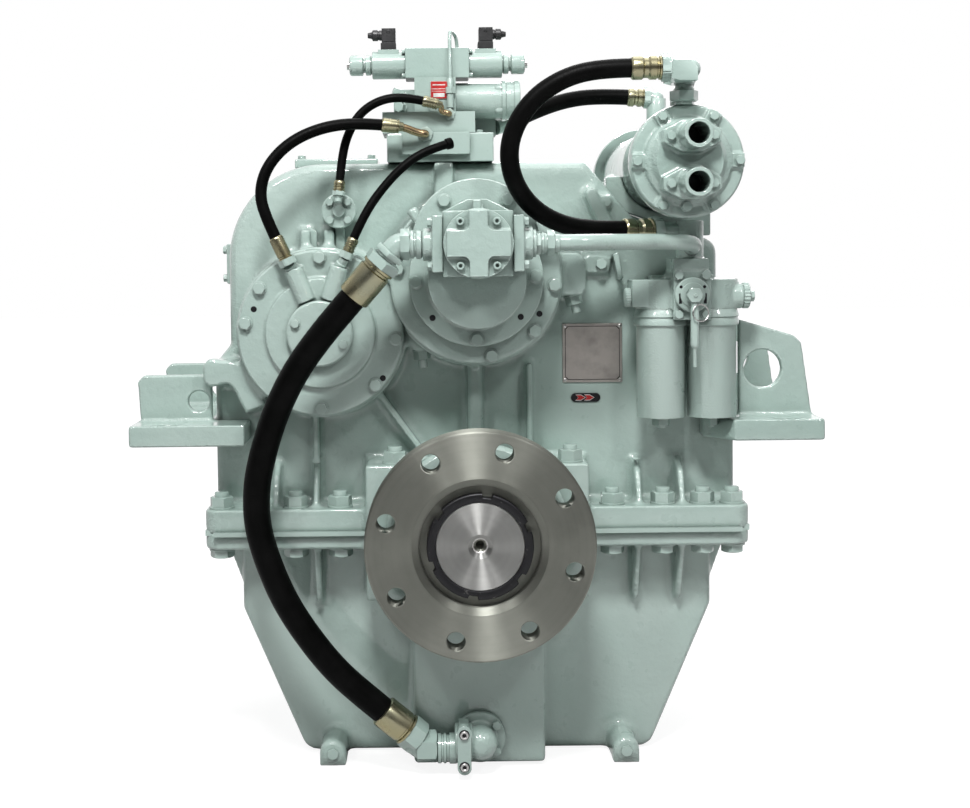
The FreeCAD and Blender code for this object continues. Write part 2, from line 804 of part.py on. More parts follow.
def mounting_brackets():
    """Two cast feet: a pad that laps the front wall's corner, and two upright plates with round windows."""
    feet = []
    pad_low = size("foot_bottom")
    pad_top = size("foot_top")
    reach = size("foot_reach")
    lap_end = number(size("foot_lap_end"))
    lap_corner = number(size("foot_lap_corner"))
    near = number(size("foot_front"))
    for side, window, window_x, window_z in ((-1, 15, 395, 183), (1, 27, 410, 221)):
        side_wall = UPPER_HALF * side
        outer = reach * side
        left, right = (outer, side_wall) if side < 0 else (side_wall, outer)
        parts = [block((left, size("foot_front"), pad_low), (right, size("foot_back"), pad_top))]
        if side < 0:
            lap = [(lap_end, near), (lap_end, FRONT)]
        else:
            lap = [(lap_corner, near), (lap_end + 10, near + 40), (lap_end, near + 46), (lap_end, FRONT)]
        corners = [(UPPER_HALF + 4, FRONT), (UPPER_HALF + 4, near)] + lap
        points = [Vector(side * number(across), number(depth), number(pad_low)) for across, depth in corners]
        face = Part.Face(Part.makePolygon(points + points[:1]))
        parts.append(shaped(face.extrude(Vector(0, 0, number(pad_top - pad_low))), "foot_lap"))
        for front in (size("foot_plate_front"), size("foot_plate_back")):
            if side < 0:
                outline = [(-478, 150), (-482, 212), (-473, 221), (side_wall, 221), (side_wall, 150)]
            else:
                outline = [
                    (481, 150), (466, 257), (455, 268), (442, 272), (side_wall, 292), (side_wall, 150)
                ]
            parts.append(plate("foot_plate", outline, front, size("foot_plate")))
        solid = fused(parts, "foot_solid")
        holes = []
        for index in range(2):
            depth = size("foot_hole_front") + size("foot_hole_pitch") * index
            across = size("foot_hole_reach") * side
            holes.append(cylinder(size("foot_hole_radius"), 60, (across, depth, pad_low - 10), ALONG_Z))
            holes.append(cylinder(size("foot_hole_radius") + 10, 10, (across, depth, pad_top - 1), ALONG_Z))
        depth = size("foot_plate_front") - 10
        holes.append(cylinder(window, 260, (window_x * side, depth, window_z)))
        feet.append(cut(solid, fused(holes, "foot_holes"), "foot"))
    return node("mounting_brackets", group(feet, "mounting_brackets"))


def joint_fasteners():
    """Hexagon bolts from below with nuts on top of the joint flange."""
    bolts = []
    nuts = []
    radius = size("joint_bolt_radius")
    flats = size("joint_bolt_flats")
    for across, depth in JOINT_BOLT_PLACES:
        head_low = -JOINT_LOW - size("joint_head_height")
        head = hexagon(flats, size("joint_head_height"), (across, depth, head_low), ALONG_Z)
        shank = cylinder(radius, JOINT_T + JOINT_LOW, (across, depth, -JOINT_LOW), ALONG_Z)
        bolts.append(fused([head, shank], "joint_bolt"))
        nut = hexagon(flats, size("joint_nut_height"), (across, depth, JOINT_T), ALONG_Z)
        tip_at = (across, depth, JOINT_T + size("joint_nut_height") - 2)
        tip = cylinder(radius, size("joint_stud_tip") + 2, tip_at, ALONG_Z)
        nuts.append(fused([nut, tip], "joint_nut"))
    for across in (-115, 132):
        nut = hexagon(flats, size("block_stud_height"), (across, 124, BLOCK_Z), ALONG_Z)
        tip = cylinder(radius, 8, (across, 124, BLOCK_Z + size("block_stud_height") - 2), ALONG_Z)
        nuts.append(fused([nut, tip], "block_nut"))
    node("joint_bolts", group(bolts, "joint_bolts"))
    node("joint_nuts", group(nuts, "joint_nuts"))


def lug_bolts():
    for across in (-208, 208):
        cover_bolt((across, 118, -316))


def counter_cover():
    centre = (COUNTER_X, COUNTER_Z)
    ring_front = COVER_Y - size("cover_ring_depth")
    ring = size("cover_ring_radius")
    edge = size("cover_radius")
    profile = [
        (0, ring_front), (ring - 2, ring_front), (ring, ring_front + 2), (ring, COVER_Y),
        (edge - 3, COVER_Y), (edge, COVER_Y + 3), (edge, COVER_SEAT),
        (size("small_bearing_radius"), COVER_SEAT), (size("small_bearing_radius"), COVER_SEAT + 6),
        (50, COVER_SEAT + 6), (50, COVER_SEAT - 8), (0, COVER_SEAT - 8),
    ]
    cover = revolved("counter_cover_disc", profile, centre)
    bosses = []
    for lean in OIL_BOSS_LEANS:
        angle = math.radians(90 - lean)
        run = (math.cos(angle), 0, math.sin(angle))
        first = size("cap_radius") + 1.5
        start = (COUNTER_X + first * run[0], ring_front, COUNTER_Z + first * run[2])
        bosses.append(cylinder(size("oil_boss_radius"), size("oil_boss_reach") - first, start, run))
    solid = fused([cover] + bosses, "counter_cover")
    for angle in (143, 172, 90, -5, -44, -90):
        turn = math.radians(angle)
        reach = number(edge) - 11
        cover_bolt(
            (
                number(COUNTER_X) + reach * math.cos(turn), number(COVER_Y),
                number(COUNTER_Z) + reach * math.sin(turn)
            )
        )
    node("counter_cover", solid)
    cap_front = ring_front - size("cap_thickness")
    cap = size("cap_radius")
    profile = [
        (0, cap_front), (cap - 3, cap_front), (cap, cap_front + 3), (cap, ring_front), (0, ring_front)
    ]
    node("counter_cap", revolved("counter_cap", profile, centre))
    for across, up in around((number(COUNTER_X), number(COUNTER_Z)), number(cap) - 10, 4, 66):
        small_bolt((across, number(cap_front), up))


def input_covers():
    centre = (INPUT_X, INPUT_Z)
    disc = size("retainer_radius")
    profile = [
        (size("small_journal_radius") + 6, RETAINER_SEAT), (disc - 3, RETAINER_SEAT), (
            disc, RETAINER_SEAT + 3
        ),
        (disc, INPUT_SEAT), (size("small_bearing_radius"), INPUT_SEAT), (
            size("small_bearing_radius"), INPUT_SEAT + 6
        ),
        (50, INPUT_SEAT + 6), (50, INPUT_SEAT - 8), (size("small_journal_radius") + 6, INPUT_SEAT - 8),
    ]
    node("input_retainer", revolved("input_retainer", profile, centre))
    for angle in (-5, -42, -79, 172):
        turn = math.radians(angle)
        reach = number(disc) - 10
        cover_bolt(
            (reach * math.cos(turn), number(RETAINER_SEAT), number(INPUT_Z) + reach * math.sin(turn))
        )

    face = size("adaptor_face")
    flange_front = face + size("adaptor_housing_length")
    flange = size("adaptor_thickness")
    lobe_z = INPUT_Z + size("adaptor_lobe_rise")
    parts = [
        cylinder(size("adaptor_radius"), flange, (0, flange_front, INPUT_Z)),
        cylinder(size("adaptor_radius") - 5, flange, (0, flange_front, lobe_z)),
        cylinder(size("adaptor_housing_radius"), flange_front - face + 2, (0, face, INPUT_Z)),
        block(
            (-size("pump_half_width"), face, INPUT_Z),
            (size("pump_half_width"), flange_front + 2, lobe_z + 34)
        ),
    ]
    solid = fused(parts, "adaptor_solid")
    gear_room = number(PUMP_STEP) / 2 + number(size("pump_gear_module")) + 2
    rooms = [
        cylinder(gear_room, 60, (0, face + 12, INPUT_Z)),
        cylinder(gear_room, 30, (0, face + 12, PUMP_DRIVE_Z)),
        cylinder(10 + size("running_clearance"), 40, (0, face - 1, PUMP_DRIVE_Z)),
        cylinder(size("small_journal_radius") + 6, 20, (0, flange_front + 6, INPUT_Z)),
    ]
    node("input_cover", cut(solid, fused(rooms, "adaptor_rooms"), "input_cover"))
    for across, up in ((-43, 462), (43, 462), (-82, 352), (81, 358), (0, 273)):
        cover_bolt((across, number(flange_front), up))


def gear_pump():
    face = size("adaptor_face")
    half_x = size("pump_half_width")
    half_z = size("pump_half_height")
    body_front = face - size("pump_body_length")
    gear_room = number(PUMP_STEP) / 2 + number(size("pump_gear_module")) + 0.15
    solid = plate(
        "pump_block",
        [
            (-half_x, PUMP_Z - half_z), (half_x, PUMP_Z - half_z), (half_x, PUMP_Z + half_z),
            (-half_x, PUMP_Z + half_z)
        ],
        body_front, face - body_front,
    )
    rooms = []
    for height in (PUMP_DRIVE_Z, PUMP_IDLER_Z):
        rooms.append(cylinder(gear_room, size("pump_gear_length") + 1, (0, body_front, height)))
    rooms.append(
        cylinder(10 + size("running_clearance"), size("pump_body_length"), (0, body_front, PUMP_DRIVE_Z))
    )
    rooms.append(
        cylinder(size("pump_port_radius") - 8, half_x * 2, (-half_x, body_front + 20, PUMP_Z), ALONG_X)
    )
    node("pump_body", cut(solid, fused(rooms, "pump_rooms"), "pump_body"))

    cover_front = body_front - size("pump_cover_length")
    disc = cylinder(size("pump_cover_radius"), size("pump_cover_length") - size("pump_cross_height"),
                    (0, cover_front + size("pump_cross_height"), PUMP_Z))
    cross = size("pump_cross_half")
    low = PUMP_Z - size("pump_arm_half")
    high = PUMP_Z + size("pump_arm_half")
    arm = size("pump_cover_radius") - 4
    outline = [
        (-cross, PUMP_Z - half_z), (cross, PUMP_Z - half_z), (cross, low), (arm, low),
        (arm, high), (cross, high), (cross, PUMP_Z + half_z), (-cross, PUMP_Z + half_z),
        (-cross, high), (-arm, high), (-arm, low), (-cross, low),
    ]
    raised = plate("pump_cross", outline, cover_front, size("pump_cross_height") + 1)
    inner = [(cross, low), (cross, high), (-cross, high), (-cross, low)]
    rounded(raised, inner, 8)
    spout = block((-6, body_front - 16, PUMP_Z + half_z - 4), (6, body_front, PUMP_Z + half_z + 8))
    node("pump_end_cover", fused([disc, raised, spout], "pump_end_cover"))
    for across in (-23.5, 23.5):
        for up in (-28.5, 28.5):
            small_bolt((across, number(cover_front + size("pump_cross_height")), number(PUMP_Z) + up))

    plates = []
    thick = size("pump_port_plate")
    for side in (-1, 1):
        low = half_x if side > 0 else -half_x - thick
        slab = block((low, body_front - 6, PUMP_Z - 37), (low + thick, body_front + 44, PUMP_Z + 37))
        start = (half_x + thick) * side
        neck = cylinder(size("pump_port_radius"), 12, (start, body_front + 20, PUMP_Z), (side, 0, 0))
        hole = cylinder(
            size("pump_port_radius") - 8, 40, ((half_x - 1) * side, body_front + 20, PUMP_Z), (side, 0, 0)
        )
        plates.append(cut(fused([slab, neck], "port_solid"), hole, "port_plate"))
        for depth in (2, 36):
            for up in (-28, 28):
                small_bolt((number(start), number(body_front) + depth, number(PUMP_Z) + up), (side, 0, 0))
    node("pump_port_flanges", group(plates, "pump_port_flanges"))


def pump_gears():
    """The pump's drive shaft with its two wheels, and its idler wheel, in mesh one above the other."""
    module = number(size("pump_gear_module"))
    teeth = int(number(size("pump_gear_teeth")))
    face = number(size("adaptor_face"))
    front = face - number(size("pump_body_length")) + 0.3
    length = number(size("pump_gear_length"))
    stub_phase = UP
    drive_phase = mating_phase(teeth, stub_phase, teeth, UP)
    idler_phase = mating_phase(teeth, drive_phase, teeth, UP)
    drive_axis = (0, PUMP_DRIVE_Z)
    rotor = tooth_wheel(module, teeth, drive_phase, drive_axis, front, length, 3.0)
    driven = tooth_wheel(module, teeth, drive_phase, drive_axis, face + 14, 18.0, 3.0)
    shaft = Part.makeCylinder(
        10, face + 32 - front, Vector(0, front, number(PUMP_DRIVE_Z)), Vector(0, 1, 0)
    )
    node("pump_drive_gear", shaped(rotor.fuse([driven, shaft]).removeSplitter(), "pump_drive_gear"))
    idler = tooth_wheel(module, teeth, idler_phase, (0, PUMP_IDLER_Z), front, length, 5.0)
    node("pump_idler_gear", shaped(idler, "pump_idler_gear"))


def output_train():
    face = 0
    nut_front = size("lock_nut_front")
    floor = size("recess_depth")
    hub_end = size("flange_hub_end")
    neck = size("shaft_end_radius") - 6
    bore_radius = neck
    profile = [
        (size("recess_radius"), face), (size("flange_diameter") / 2 - 2, face), (
            size("flange_diameter") / 2, 2
        ),
        (size("flange_diameter") / 2, size("flange_thickness")), (
            size("flange_hub_radius"), size("flange_thickness")
        ),
        (size("flange_hub_radius"), hub_end), (bore_radius, hub_end), (bore_radius, floor),
        (size("recess_floor_radius"), floor), (size("recess_floor_radius"), size("recess_chamfer")),
    ]
    disc = revolved("flange_disc", profile)
    holes = []
    for across, up in around(
        (0, 0), number(size("flange_bolt_circle")) / 2, int(number(size("flange_hole_count"))), 30
    ):
        holes.append(
            cylinder(size("flange_hole_diameter") / 2, size("flange_thickness") + 4, (across, -2, up))
        )
    node("output_flange", cut(disc, fused(holes, "flange_holes"), "output_flange"))

    ring = revolved("nut_ring", ring_profile(neck, size("lock_nut_radius"), nut_front, floor))
    notches = []
    for index in range(6):
        angle = math.radians(90 - 8 - index * 60)
        reach = number(size("lock_nut_radius"))
        half = number(size("lock_nut_notch_width")) / 2
        low = reach - number(size("lock_nut_notch_depth"))
        slot = Part.makeBox(20, 40, half * 2, Vector(low, number(nut_front) - 5, -half))
        slot.rotate(Vector(0, 0, 0), Vector(0, 1, 0), -math.degrees(angle))
        notches.append(shaped(slot, "nut_notch"))
    node("lock_nut", cut(ring, fused(notches, "nut_notches"), "lock_nut"))

    journal = size("output_journal_radius")
    gear_start = size("output_gear_start")
    gear_end = gear_start + size("output_gear_width")
    shaft_start = size("shaft_end_depth")
    profile = [
        (size("shaft_centre_hole"), shaft_start + 11), (size("shaft_centre_cone"), shaft_start),
        (neck, shaft_start), (neck, hub_end), (journal, hub_end),
        (journal, gear_start - 22), (journal + 26, gear_start - 22), (journal + 26, gear_start - 2),
        (journal + 10, gear_start - 2), (journal + 10, gear_end), (journal, gear_end),
        (journal, BOSS_END - 6), (0, BOSS_END - 6), (0, shaft_start + 40), (
            size("shaft_centre_hole"), shaft_start + 40
        ),
    ]
    node("output_shaft", revolved("output_shaft", profile))
    wheel = tooth_wheel(
        number(size("output_module")), int(number(size("output_teeth"))), UP, (0, 0),
        number(gear_start), number(size("output_gear_width")), number(journal) + 10,
    )
    webs = []
    for start, end in (
        (number(gear_start) - 1, number(gear_start) + 28), (number(gear_end) - 28, number(gear_end) + 1)
    ):
        outer = Part.makeCylinder(216, end - start, Vector(0, start, 0), Vector(0, 1, 0))
        inner = Part.makeCylinder(number(journal) + 40, end - start, Vector(0, start, 0), Vector(0, 1, 0))
        webs.append(outer.cut(inner))
    node("output_gear", shaped(wheel.cut(webs), "output_gear"))


def input_train():
    module = number(size("transfer_module"))
    teeth = int(number(size("transfer_teeth")))
    centre = (INPUT_X, INPUT_Z)
    start = size("transfer_gear_start")
    journal = size("small_journal_radius")
    sleeve = size("pinion_bore_radius") - size("running_clearance")
    gear_end = start + size("transfer_gear_width")
    clutch_end = gear_end + size("clutch_length")
    gear_bore = 50.0
    stub_front = size("adaptor_face") + 14
    shaft_end = BOSS_END + 90
    profile = [
        (0, stub_front + 18), (15, stub_front + 18), (15, RETAINER_SEAT + 2), (journal, RETAINER_SEAT + 2),
        (journal, start - 8), (gear_bore, start - 8), (gear_bore, clutch_end), (sleeve, clutch_end),
        (sleeve, REAR_BOSS_START - 4), (journal, REAR_BOSS_START - 4), (journal, shaft_end), (0, shaft_end),
    ]
    shaft = revolved("input_shaft_bar", profile, centre)
    stub = tooth_wheel(number(size("pump_gear_module")), int(number(size("pump_gear_teeth"))), UP, centre,
                       number(stub_front), 18.0, 4.0)
    node("input_shaft", fused([shaft, shaped(stub, "pump_stub")], "input_shaft"))
    phase = UP
    gear = tooth_wheel(
        module, teeth, phase, centre, number(start), number(size("transfer_gear_width")), gear_bore
    )
    clutch = clutch_drum(centre, gear_end, gear_bore)
    node("input_gear", fused([shaped(gear, "input_teeth"), clutch], "input_gear"))
    counter = (COUNTER_X, COUNTER_Z)
    counter_phase = mating_phase(teeth, phase, teeth, INPUT_TO_COUNTER)
    gear = tooth_wheel(
        module, teeth, counter_phase, counter, number(start), number(size("transfer_gear_width")), gear_bore
    )
    node(
        "counter_gear",
        fused([shaped(gear, "counter_teeth"), clutch_drum(counter, gear_end, gear_bore)], "counter_gear")
    )
    profile = [
        (0, COVER_SEAT + 6), (journal, COVER_SEAT + 6),
        (journal, start - 8), (gear_bore, start - 8), (gear_bore, clutch_end), (sleeve, clutch_end),
        (sleeve, REAR_BOSS_START - 4), (journal, REAR_BOSS_START - 4), (journal, BOSS_END - 8), (
            0, BOSS_END - 8
        ),
    ]
    node("counter_shaft", revolved("counter_shaft", profile, counter))

    pinion_start = number(size("output_gear_start")) - 1
    pinion_width = number(size("output_gear_width")) + 2
    out_teeth = int(number(size("output_teeth")))
    out_module = number(size("output_module"))
    for name, place_at, direction in (
        ("input_pinion", centre, UP), ("counter_pinion", counter, TO_COUNTER)
    ):
        pinion_phase = mating_phase(out_teeth, UP, PINION_TEETH, direction)
        pinion = tooth_wheel(out_module, PINION_TEETH, pinion_phase, place_at, pinion_start, pinion_width,
                             number(size("pinion_bore_radius")))
        node(name, shaped(pinion, name))

    flange_start = BOSS_END + 36
    profile = [
        (journal, flange_start - 16), (62, flange_start - 16), (62, flange_start + 18), (
            112, flange_start + 18
        ),
        (112, shaft_end - 16), (journal, shaft_end - 16),
    ]
    disc = revolved("coupling_disc", profile, centre)
    holes = []
    for across, up in around((0, number(INPUT_Z)), 92, 8, 22.5):
        holes.append(cylinder(8, 60, (across, number(flange_start), up)))
    node("input_coupling", cut(disc, fused(holes, "coupling_holes"), "input_coupling"))


def clutch_drum(centre, start, inner):
    """The clutch housing that is bolted to a transfer gear, ribbed outside."""
    outer = size("clutch_radius")
    end = start + size("clutch_length")
    profile = [
        (inner, start), (outer, start), (outer, start + 30), (outer - 5, start + 34), (outer - 5, end - 34),
        (outer, end - 30), (outer, end - 3), (outer - 8, end - 3), (outer - 8, start + 14), (
            inner, start + 14
        ),
    ]
    return revolved("clutch_drum", profile, centre)


def bearings_and_covers():
    rings = []
    clearance = size("running_clearance")
    small_in = size("small_journal_radius") + clearance
    small_out = size("small_bearing_radius")
    width = size("small_bearing_width")
    for centre, start in (((INPUT_X, INPUT_Z), INPUT_SEAT + 8), ((COUNTER_X, COUNTER_Z), COVER_SEAT + 8)):
        rings.append(
            revolved("front_bearing", ring_profile(small_in, small_out, start, start + width), centre)
        )
        back = ring_profile(small_in, small_out, BACK_BEARING_START, BACK_BEARING_END)
        rings.append(revolved("back_bearing", back, centre))
    journal = size("output_journal_radius") + clearance
    outer = size("output_bearing_radius")
    rings.append(revolved("output_front_bearing", ring_profile(journal, outer, BLOCK_Y + 8, BLOCK_Y + 62)))
    rings.append(revolved("output_back_bearing", ring_profile(journal, outer, BOSS_END - 58, BOSS_END - 8)))
    node("shaft_bearings", group(rings, "shaft_bearings"))

    covers = []
    hub = size("flange_hub_radius") + 1
    profile = [
        (hub, BLOCK_Y - 20), (122, BLOCK_Y - 20), (128, BLOCK_Y - 14), (128, BLOCK_Y),
        (outer, BLOCK_Y), (outer, BLOCK_Y + 8), (journal, BLOCK_Y + 8), (journal, BLOCK_Y - 10), (
            hub, BLOCK_Y - 10
        ),
    ]
    covers.append(revolved("output_front_cover", profile))
    profile = [
        (0, BOSS_END - 4), (outer - 8, BOSS_END - 4), (outer - 8, BOSS_END - 8), (outer, BOSS_END - 8),
        (outer, BOSS_END), (128, BOSS_END), (128, BOSS_END + 14), (0, BOSS_END + 14),
    ]
    covers.append(revolved("output_back_cover", profile))
    profile = [
        (0, BOSS_END - 4), (small_out - 6, BOSS_END - 4), (small_out - 6, BACK_BEARING_END),
        (small_out, BACK_BEARING_END), (small_out, BOSS_END), (86, BOSS_END), (86, BOSS_END + 14), (
            0, BOSS_END + 14
        ),
    ]
    covers.append(revolved("counter_back_cover", profile, (COUNTER_X, COUNTER_Z)))
    profile = [
        (small_in + 2, BOSS_END - 4), (small_out - 6, BOSS_END - 4), (small_out - 6, BACK_BEARING_END),
        (small_out, BACK_BEARING_END), (small_out, BOSS_END), (86, BOSS_END), (86, BOSS_END + 14),
        (small_in + 2, BOSS_END + 14),
    ]
    covers.append(revolved("input_back_cover", profile, (INPUT_X, INPUT_Z)))
    node("bearing_covers", group(covers, "bearing_covers"))
    for centre, radius, count in (
        ((0, 0), 116, 6), ((COUNTER_X, COUNTER_Z), 76, 6), ((INPUT_X, INPUT_Z), 76, 6),
    ):
        for across, up in around([number(part) for part in centre], radius, count, 30):
            cover_bolt((across, number(BOSS_END) + 14, up), (0, 1, 0))


def hose(name, points, radius, seat=None):
    """A hose as a node of its own, cut to the piece that it ends on if one is given."""
    item = shaped(tube_along(name, points, radius), name)
    return node(name, cut(item, seat, name) if seat else item)


def tube_along(name, points, radius):
    """A tube along straight runs joined by tangent arcs, as large as the runs allow."""
    corners = [Vector(*point) for point in points]
    edges = []
    radii = []
    start = corners[0]
    for index in range(1, len(corners) - 1):
        before = corners[index] - corners[index - 1]
        after = corners[index + 1] - corners[index]
        turn = before.getAngle(after)
        share = 0.45 * min(before.Length, after.Length)
        radii.append(share / math.tan(turn / 2))
        into = corners[index] - before.normalize() * share
        out = corners[index] + after.normalize() * share
        to_middle = (into + out) * 0.5 - corners[index]
        middle_gap = radii[-1] / math.cos(turn / 2) - radii[-1]
        middle = corners[index] + to_middle.normalize() * middle_gap
        edges.append(Part.LineSegment(start, into).toShape())
        edges.append(Part.Arc(into, middle, out).toShape())
        start = out
    edges.append(Part.LineSegment(start, corners[-1]).toShape())
    path = Part.Wire(edges)
    direction = corners[1] - corners[0]
    ring = Part.Wire([Part.makeCircle(radius, corners[0], direction)])
    tube = path.makePipeShell([ring], True, True)
    expected = math.pi * radius * radius * path.Length
    print("%s length %.0f, least radius %.0f of %.0f wide, volume ratio %.4f" % (
        name, path.Length, min(radii), 2 * radius, tube.Volume / expected))
    return tube


def toward(start, end, distance):
    """The point that lies a distance from start on the way to end."""
    first = Vector(*start)
    run = (Vector(*end) - first).normalize()
    return tuple(first + run * distance)


def hose_end(hose_point, next_point, length, radius, nut_flats, nut_length):
    """A crimped sleeve and nut that leave the hose's end backwards, away from its next point."""
    outwards = Vector(*hose_point) - Vector(*next_point)
    outwards.normalize()
    sleeve_end = Vector(*hose_point) + outwards * length
    nut_end = sleeve_end + outwards * nut_length
    sleeve = rod(hose_point, tuple(sleeve_end), radius)
    nut = rod(tuple(sleeve_end), tuple(nut_end), nut_flats, 6)
    return sleeve, nut, tuple(nut_end)


SUCTION_ROUTE = [
    (-142, 3, 360), (-169, 7, 329), (-205, 14, 288), (-243, 26, 238), (-271, 36, 184), (-290, 44, 130),
    (-303, 52, 76), (-303, 58, 20), (-288, 62, -34), (-266, 66, -88), (-235, 70, -138), (-200, 74, -184),
    (-160, 78, -222), (-118, 82, -258),
]


def spanned(low, high, points):
    """A route whose heights are given as shares of the way from low to high."""
    return [(across, depth, low + share * (high - low)) for across, depth, share in points]


COOLER_TOP = size("cooler_height") + size("cooler_radius")
FILTER_RISER_FOOT = size("filter_head_top") + 29
LOOP_HIGH = number(COOLER_TOP) + 57.5
LOOP_LOW = number(PUMP_Z) + 17
SIDE_PORT_Z = number(size("casing_top") + size("manifold_height")) + 14
LOOP_ROUTE = spanned(LOOP_LOW, LOOP_HIGH, [
    (205, -10, 1), (160, -10, 1), (112, -9, 0.943), (70, -5, 0.804), (43, 2, 0.584), (44, 10, 0.354),
    (70, 26, 0.153), (114, 48, 0.033), (164, 70, 0), (212, 88, 0),
])
REAR_ROUTE = spanned(SIDE_PORT_Z + 18, LOOP_HIGH - 2, [
    (246, 330, 1), (208, 330, 1.06), (160, 318, 0.94), (112, 296, 0.48), (80, 272, 0),
])
LONG_ROUTE = [
    (-273, 83, 412), (-286, 82, 440), (-296, 83, 475), (-285, 87, 514), (-252, 94, 548),
    (-205, 103, 568), (-155, 114, 573), (-112, 122, 569),
]
SHORT_ROUTE = [
    (-188, 128, 492), (-185, 132, 524), (-177, 134, 558), (-158, 135, 590), (-128, 137, 608), (
        -94, 140, 611
    ),
    (-64, 142, 604),
]
MIDDLE_ROUTE = [
    (-168, 88, 411), (-153, 90, 444), (-130, 98, 478), (-100, 104, 511), (-66, 112, 534), (-36, 122, 543)
]

PRESSURE_ROUTE = [(-31, 174, 642), (-31, 174, 706), (-22, 200, 708), (-20, 202, 686)]

SLEEVES = []
CONTROL_FITTINGS = []
PIPE_FITTINGS = []
SUCTION_FITTINGS = []


def suction_line():
    radius = number(size("suction_hose_radius"))
    hose("suction_hose", SUCTION_ROUTE, radius)
    sleeve, nut, nut_end = hose_end(SUCTION_ROUTE[0], SUCTION_ROUTE[1], 36, radius + 3.5, 42, 15)
    SLEEVES.append(sleeve)
    port = (-number(size("pump_half_width")) - number(size("pump_port_plate")) - 12, -6, number(PUMP_Z))
    knee = (port[0] - 22, port[1], port[2])
    elbow = fused([nut, rod(nut_end, knee, 17), ball(knee, 19), rod(knee, port, 20)], "upper_elbow")
    SUCTION_FITTINGS.append(elbow)
    sleeve, nut, nut_end = hose_end(SUCTION_ROUTE[-1], SUCTION_ROUTE[-2], 36, radius + 3.5, 42, 16)
    SLEEVES.append(sleeve)
    centre = (0, 80, -290)
    joint = toward(centre, nut_end, 34)
    SUCTION_FITTINGS.append(fused([nut, rod(nut_end, joint, 16)], "lower_union"))
    column_face = number(JOINT_Y)
    flange = cylinder(36, 10, (0, column_face - 10, -290))
    neck = cylinder(22, 20, (0, column_face - 30, -290))
    side = rod(centre, joint, 22)
    node("suction_elbow", fused([flange, neck, ball(centre, 24), side], "suction_elbow"))
    link_back = column_face - 10
    low_end = (-25, 50, -316)
    high_end = (-25, 50, -258)
    link = fused([
        block((-34, 50, -316), (-16, link_back, -258)), cylinder(9, link_back - 50, low_end),
        cylinder(9, link_back - 50, high_end),
    ], "clamp_link")
    room = fused([
        rod(centre, toward(centre, nut_end, 60), 22.2), ball(centre, 24.2), cylinder(
            22.2, 40, (0, 70, -290)
        ),
    ], "clamp_room")
    node("suction_clamp", cut(link, room, "suction_clamp"))
    small_bolt(low_end)
    small_bolt((-25, 50, -273))


def ball(centre, radius):
    item = doc.addObject("Part::Sphere", "ball")
    bind(item, "Radius", radius)
    return place(item, centre)


